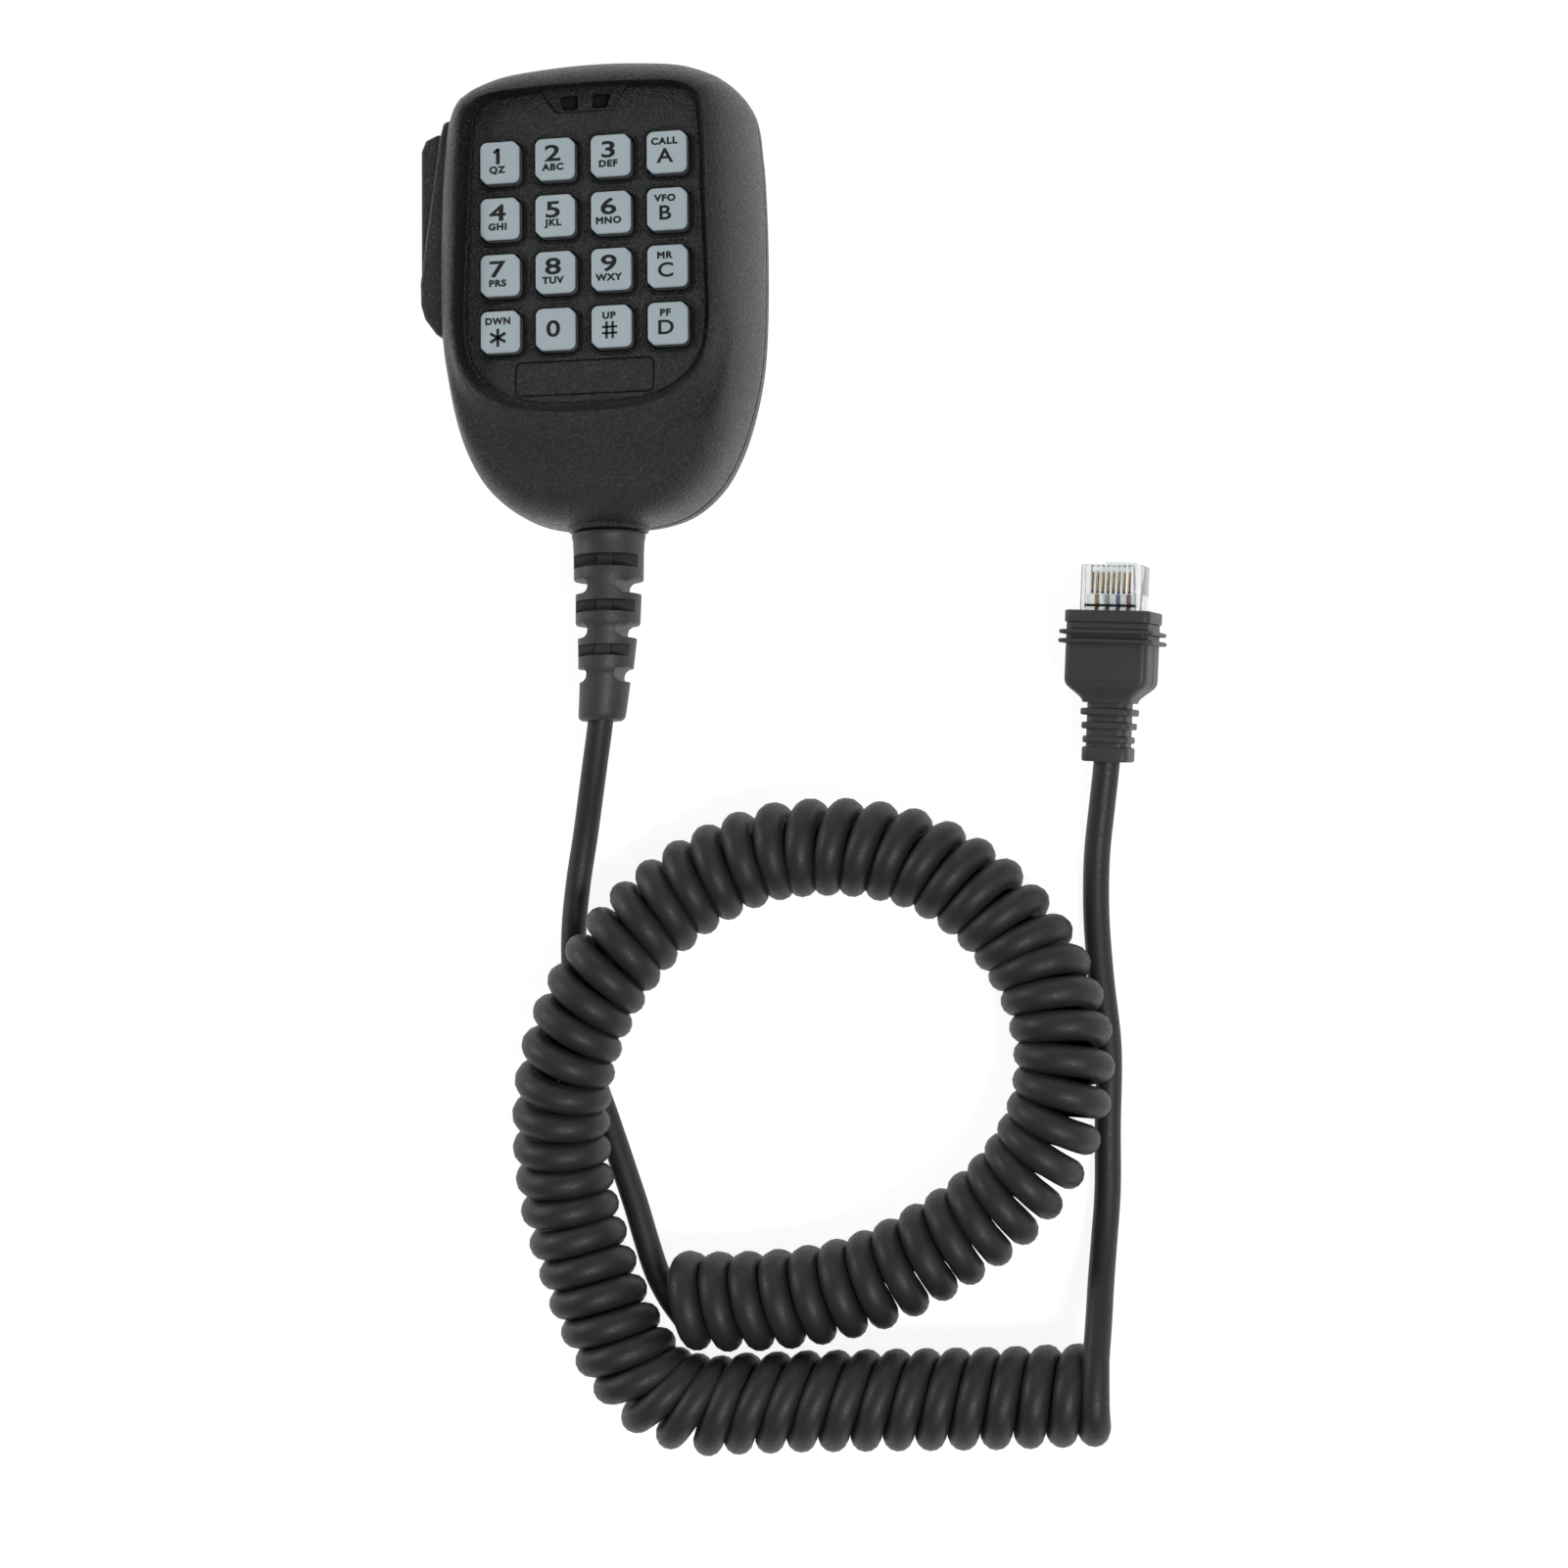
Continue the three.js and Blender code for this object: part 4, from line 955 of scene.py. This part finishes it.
def one(x, y):
    upright = stroke((x + 0.12, y - 1.5), (x + 0.12, y + 1.5), 0.72)
    flag = stroke((x + 0.2, y + 1.35), (x - 0.7, y + 0.7), 0.5)
    return joined([upright, flag])


def hash_sign(x, y):
    parts = []
    for step in (-0.58, 0.58):
        upright_x = x + 0.1 + step
        parts.append(stroke((upright_x, y - 1.6), (upright_x, y + 1.6), 0.44))
        parts.append(stroke((x - 1.35, y + step), (x + 1.55, y + step), 0.4))
    return joined(parts)


def star(x, y, size=3.4):
    """Three crossed strokes. Their widths differ a little, so no two sides coincide."""
    parts = []
    for k in range(3):
        angle = math.pi / 2 + k * math.pi / 3
        middle = np.array([x, y])
        reach = np.array([math.cos(angle), math.sin(angle)]) * size / 2
        parts.append(stroke(middle - reach, middle + reach, 0.52 + 0.01 * k))
    return joined(parts)


LEGEND_X = -0.4
WORD_ABOVE_Y, WORD_BELOW_Y = 2.05, -1.5
MAIN_BELOW_Y, MAIN_ABOVE_Y, MAIN_ALONE_Y = -0.7, 1.15, 0.1
STAR_Y = -1.1


def main_legend(main, x, y):
    if main == "#":
        return hash_sign(x, y)
    if main == "*":
        return star(x, STAR_Y)
    if main == "1":
        return one(x, y)
    if main.isdigit():
        return text_geometry(main, 3.3, 0.09, x, y, 1.3 if main == "0" else 1.52)
    return text_geometry(main, 2.9, 0.075, x + 0.1, y, 1.18)


def legend(name):
    """A key's large character, and the word above or below it."""
    main, word = LEGENDS[name]
    above = name in WORD_ABOVE
    if not word:
        return main_legend(main, LEGEND_X, MAIN_ALONE_Y)
    large = main_legend(main, LEGEND_X, MAIN_BELOW_Y if above else MAIN_ABOVE_Y)
    small = text_geometry(word, 1.45, 0.095, LEGEND_X, WORD_ABOVE_Y if above else WORD_BELOW_Y,
                          1.05 if word == "DWN" else 1.12)
    return joined([large, small])


# ---- push-to-talk lever
def ptt_lever():
    low, high = span("ptt_button")
    low, high = low - KEYPAD, high - KEYPAD
    x = low[0]
    outline = anticlockwise([
        (-28.4, -9.6), (-28.4, 25.3), (-31.6, 25.3), (x + 0.9, 24.3), (x, 22.2), (x, -3.0), (x + 0.8, -7.2),
        (-32.4, -9.6),
    ])
    return rounded_prism(outline, 0.9, low[2], high[2], edge=0.8, edge_steps=5)


# ---- back: knob and screws
def hanger_knob():
    """A turned knob: a wide head, an undercut that hangs in a clip, and a screw hole from inside."""
    profile = [
        (5.6, 0.0), (6.1, 0.08), (6.4, 0.35), (6.5, 0.75), (6.5, 1.5), (6.4, 1.95), (6.15, 2.22),
        (5.8, 2.3), (4.5, 2.3), (4.15, 2.42), (4.0, 2.7), (4.0, BACK_Z - 0.3),
    ]
    head = moved(lathe(profile, 96), (0, KNOB_Y, 0))
    dimple = moved(lathe([(3.2, -1), (3.2, 0.0), (3.0, 0.3), (2.4, 0.42)]), (0, KNOB_Y, 0))
    return carved(head, cuts=[dimple, post(1.6, 0, KNOB_Y, 1.4, BACK_Z + 1, 32)])


def case_screw():
    """A cross-head screw, head down."""
    profile = [
        (1.5, 5.7), (2.0, 5.78), (2.25, 6.05), (2.3, 6.4), (2.3, 7.6), (1.1, 7.6), (1.1, 22.0), (0.4, 22.6),
    ]
    head = lathe(profile, 48)
    arms = [block((-1.35, -0.28, 5.0), (1.35, 0.28, 6.7)), block((-0.28, -1.35, 5.0), (0.28, 1.35, 6.7))]
    return carved(head, cuts=arms)


# ---- strain relief
RELIEF_LENGTH = 36.0
RELIEF_DROP = 3.5
RELIEF_LEAN = 2.5
RELIEF_PROFILE = [
    (5.4, 6.9), (5.4, 3.6), (5.5, 3.6), (5.5, -0.3), (6.75, -0.3), (7.0, -0.4), (7.1, -0.65),
    (7.05, -1.2), (6.9, -1.6), (6.78, -4.0), (6.72, -9.0), (6.6, -9.5), (6.4, -9.9), (6.35, -12.0),
    (6.25, -17.3), (6.1, -17.9), (5.8, -18.3), (5.7, -20.5), (5.35, -26.1), (5.2, -26.8), (5.0, -27.1),
    (4.85, -30.0), (4.6, -35.0), (4.45, -35.6), (4.0, -RELIEF_LENGTH),
]
SIDE_NOTCHES = [(-12.1, -9.3), (-20.5, -17.8), (-28.8, -26.1)]
FACE_SLOTS = [(-7.2, -4.7), (-15.7, -13.4), (-24, -21.8)]
SLOT_FLOOR = 2.4
RIB_TOP = 3.4
SLOT_PARTS = [(-9.0, -1.5, SLOT_FLOOR), (-1.7, 1.7, RIB_TOP), (1.5, 9.0, SLOT_FLOOR)]
NOTCH_WEB = 2.75


def relief_cuts():
    """Round-ended notches at both sides, and slots front and back with a rib down their middle."""
    cuts = []
    for low, high in SIDE_NOTCHES:
        for side in (-1, 1):
            x = side * (NOTCH_WEB + 5)
            outline = box_outline(x - 5, x + 5, low, high)
            cuts.append(rounded_prism(outline, 1.25, -9, 9, edge=0.2, edge_steps=2))
    for low, high in FACE_SLOTS:
        for side in (-1, 1):
            for x_low, x_high, floor in SLOT_PARTS:
                z_low, z_high = sorted((side * floor, side * 9.0))
                cuts.append(block((x_low, low, z_low), (x_high, high, z_high)))
    return cuts


def strain_relief():
    """A turned sleeve with its cuts, then bent down and aside towards its tip."""
    dense = []
    for (r0, y0), (r1, y1) in zip(RELIEF_PROFILE, RELIEF_PROFILE[1:]):
        steps = max(1, int(abs(y1 - y0) / 0.8))
        dense += [(r0 + (r1 - r0) * k / steps, y0 + (y1 - y0) * k / steps) for k in range(steps)]
    dense.append(RELIEF_PROFILE[-1])
    body = moved(lathe(dense[::-1], 72), matrix=Z_TO_Y)
    points, faces = carved(body, cuts=relief_cuts())
    along = np.maximum(0, -points[:, 1]) / RELIEF_LENGTH
    points[:, 0] -= RELIEF_LEAN * along ** 2.4
    points[:, 2] -= RELIEF_DROP * along ** 2
    return points, faces


# ---- plug
def plug_axes():
    """The plug's place and axes: the nose at y = 0, the cord towards -Y, the contacts at +Z."""
    mount = next(m for m in RECORD["mounts"] if m["name"] == "plug_nose")
    hinge = next(j for j in frame["joints"] if j["name"] == "latch_squeeze")
    y_axis = np.array(mount["axis"], float)
    x_axis = -np.array(hinge["axis"], float)
    x_axis /= np.linalg.norm(x_axis)
    y_axis -= x_axis * (x_axis @ y_axis)
    y_axis /= np.linalg.norm(y_axis)
    return np.array(mount["pos_m"], float) / MM, np.stack([x_axis, y_axis, np.cross(x_axis, y_axis)], axis=1)


PLUG_WIDTH, PLUG_HEIGHT, PLUG_LENGTH = 11.68, 6.6, 21.4
CONTACT_PITCH = 1.016
CONTACT_END_Y = -5.0
CONTACT_XS = [(i - 3.5) * CONTACT_PITCH for i in range(8)]


def on_plug(geometry):
    nose, axes = plug_axes()
    return moved(geometry, nose, axes)


def plug_body():
    outline = box_outline(-PLUG_WIDTH / 2, PLUG_WIDTH / 2, -PLUG_LENGTH, 0)
    base = rounded_prism(outline, 0.35, -PLUG_HEIGHT / 2, PLUG_HEIGHT / 2, edge=0.25, edge_steps=3)
    above = PLUG_HEIGHT / 2 + 1
    slot_end = CONTACT_END_Y - 0.45
    cuts = [block((x - 0.3, slot_end, 1.0), (x + 0.3, -1.0, above)) for x in CONTACT_XS]
    cuts.append(block((-4.7, -PLUG_LENGTH - 1, -0.2), (4.7, slot_end, 1.7)))  # the wires' way in
    cuts += [block((x - 0.3, -1.05, 2.3), (x + 0.3, 1.0, above)) for x in CONTACT_XS]
    cuts.append(block((-4.9, -8.1, 1.8), (4.9, -7.3, above)))  # room for the crimp bar
    return carved(base, cuts=cuts)


def plug_contact(x):
    outline = box_outline(1.3, PLUG_HEIGHT / 2 - 0.35, CONTACT_END_Y, -1.4)
    blade = rounded_prism(outline, 0.3, x - 0.2, x + 0.2, edge=0.05, edge_steps=2)
    return moved(blade, matrix=Z_TO_X)


def plug_wire(x):
    profile = [(0.2, -21.0), (0.44, -20.9), (0.44, CONTACT_END_Y - 0.6), (0.2, CONTACT_END_Y - 0.5)]
    return moved(lathe(profile, 16), (x, 0, 0.8), Z_TO_Y)


def crimp_bar():
    """The dark bar that grips the wires, and dark blocks at the contacts' ends: painted shadow for the shade under
    the contacts.
    """
    grip = rounded_prism(box_outline(-4.8, 4.8, -7.9, -7.45), 0.1, 1.9, 2.9, edge=0.05, edge_steps=2)
    feet_low, feet_high = CONTACT_END_Y - 0.4, CONTACT_END_Y - 0.05
    # Dark blocks at the contacts' ends: painted shadow.
    shadow_blocks = [block((x - 0.26, feet_low, 1.2), (x + 0.26, feet_high, 2.6)) for x in CONTACT_XS]
    return joined([grip] + shadow_blocks)


def plug_latch():
    """A springy bar, drawn as its side view of (y, z) points and 6 mm wide."""
    side = [(0.9, -3.6), (0.9, -4.5), (-12.6, -7.4), (-13.4, -7.0), (-13.2, -6.4), (-2.4, -3.6)]
    outline = anticlockwise([(-z, y) for y, z in side])
    return moved(rounded_prism(outline, 0.18, -3, 3, edge=0.2, edge_steps=2), matrix=Z_TO_X_TURNED)


def boot_slab(front, rear, width, height, radius=1.6, edge=0.45):
    """A rounded block across the plug's axis, from one distance behind the nose to another."""
    outline = box_outline(-width / 2, width / 2, -height / 2, height / 2)
    return moved(rounded_prism(outline, radius, -rear, -front, edge=edge, edge_steps=3), matrix=Z_TO_Y)


def boot_taper(front, rear, wide, narrow):
    """The shoulder that eases from the wide section to the narrow one."""
    rings = []
    for share in np.linspace(0, 1, 9):
        ease = smoothstep(share, 0, 1)
        width, height = [a + (b - a) * ease for a, b in zip(wide, narrow)]
        outline = rounded(box_outline(-width / 2, width / 2, -height / 2, height / 2), 1.5)
        rings.append(flat_ring(outline, -(front + (rear - front) * share)))
    return moved(loft(rings[::-1]), matrix=Z_TO_Y)


BOOT_SECTION, BOOT_STEM = (15.8, 11.2), (9.4, 8.2)
BOOT_CLEARANCE = 0.3


def plug_boot():
    """The moulded boot: a lip, two grip ribs, a shoulder, and a stem with three ribs and an end."""
    joins = [
        boot_slab(10.8, 22.2, *BOOT_SECTION, 1.3),
        boot_slab(12.4, 13.2, 18, 13.6, 1.5, 0.3),
        boot_slab(14.1, 14.9, 18.2, 13.8, 1.5, 0.3),
        boot_taper(22.0, 25.9, BOOT_SECTION, BOOT_STEM),
        boot_slab(25.7, 34.4, 7.9, 6.8, 1.8, 0.2),
        boot_slab(34.2, 37, 9, 7.4, 1.4),
    ]
    for i, front in enumerate((27, 29.6, 32.2)):
        joins.append(boot_slab(front, front + 1.3, 9.9 - 0.5 * i, 8.6 - 0.4 * i, 1.6, 0.35))
    half_width = PLUG_WIDTH / 2 + BOOT_CLEARANCE
    half_height = PLUG_HEIGHT / 2 + BOOT_CLEARANCE
    socket = block((-half_width, -PLUG_LENGTH - BOOT_CLEARANCE, -half_height), (half_width, 1, half_height))
    latch_room = block((-3.6, -15.8, -12), (3.6, 1, -PLUG_HEIGHT / 2))
    seams = [block((x, -24.5, -0.2), (x + 12.6, -15.2, 0.2)) for x in (-20, 7.4)]
    return carved(boot_slab(8.7, 11, 16.4, 11.8, 1.4, 0.3), cuts=[socket, latch_room] + seams, joins=joins)


# ---- making everything
def make_pieces():
    """Every fine piece; gives back those that lie on the cord."""
    piece("front_case", front_case(), "shell_black", replaced=["front_shell"])
    piece("rear_case", rear_case(), "shell_black", replaced=["rear_shell"])
    badge = rounded_prism(box_outline(*BADGE), 0.9, PANEL_Z - 0.4, PANEL_Z - 0.02, edge=0.12, edge_steps=3)
    piece("badge", badge, "shell_black", replaced=["badge_plate"])
    for name, (x, y) in KEY_PLACES.items():
        short = name.replace("key_", "")
        cap = piece("cap_" + short, moved(key_cap(), (x, y, 0)), "key_grey", body=name, replaced=[name])
        # The keys' sides below the top edge take the darker grey: painted shade for the gap round each key.
        cap.data.materials.append(MATERIALS["key_side_shade"])
        for face in cap.data.polygons:
            face.material_index = int(face.center.z < (KEY_TOP_Z - KEY_EDGE * 0.8) * MM)
        piece("legend_" + short, moved(legend(name), (x, y, 0)), "component_black", sharp=20, body=name,
              material="legend_black")
    piece("talk_lever", ptt_lever(), "shell_black", body="ptt_lever", replaced=["ptt_button"])
    piece("hang_knob", hanger_knob(), "shell_black", replaced=["hanger_knob"])
    for i, (x, y) in enumerate(CASE_SCREWS, 1):
        piece(f"back_screw_{i}", moved(case_screw(), (x, y, 0)), "screw_steel", replaced=[f"case_screw_{i}"])
    return pieces_on_cord()


def plug_piece(name, geometry, slot, **more):
    return piece(name, on_plug(geometry), slot, at=np.zeros(3), **more)


def pieces_on_cord():
    relief = moved(strain_relief(), (0, NECK_END_Y, NECK_Z))
    on_cord = [
        piece("relief", relief, "rubber_black", replaced=["strain_relief"]),
        plug_piece("boot", plug_boot(), "rubber_black", replaced=["plug_boot"]),
        plug_piece("plug", plug_body(), "clear_plastic", sharp=20, replaced=["plug_body"]),
        plug_piece("latch_arm", plug_latch(), "clear_plastic", sharp=20, body="latch",
                   replaced=["plug_latch"]),
        plug_piece("crimp", crimp_bar(), "component_black"),
    ]
    for i, x in enumerate(CONTACT_XS, 1):
        on_cord.append(plug_piece(f"blade_{i}", plug_contact(x), "contact_gold", sharp=20,
                                  replaced=[f"plug_contact_{i}"]))
    for i, wire in enumerate(WIRE_COLOURS):
        x = (i - 1.5) * 2 * CONTACT_PITCH
        on_cord.append(plug_piece(wire, plug_wire(x), "component_black", material=wire))
    return on_cord


def dress_cad_nodes():
    """Every CAD node that stays visible takes its slot's material."""
    slots = {part["node"]: part["material_slot"] for part in RECORD["subparts"]}
    for name, obj in frame["nodes"].items():
        obj.data.materials.clear()
        obj.data.materials.append(MATERIALS[slots[name]])


FLOOR_HALF = 3.0  # metres
FLOOR_GLOW = 0.9  # the photo's background is pure white and has no shadows


def make_floor():
    data = bpy.data.meshes.new("floor")
    corners = box_outline(-FLOOR_HALF, FLOOR_HALF, -FLOOR_HALF, FLOOR_HALF)
    data.from_pydata([(x, y, 0) for x, y in corners], [], [(0, 1, 2, 3)])
    floor = placed("floor", data)
    material, _, shader = nodes_of("floor_white")
    shader.inputs["Base Color"].default_value = (0.3, 0.3, 0.3, 1.0)
    shader.inputs["Roughness"].default_value = 0.9
    shader.inputs["Specular IOR Level"].default_value = 0.0
    shader.inputs["Emission Color"].default_value = (1.0, 1.0, 1.0, 1.0)
    shader.inputs["Emission Strength"].default_value = FLOOR_GLOW
    data.materials.append(material)


make_camera()
MATERIALS = make_materials()
dress_cad_nodes()
make_cord(make_pieces())
make_floor()
make_studio()
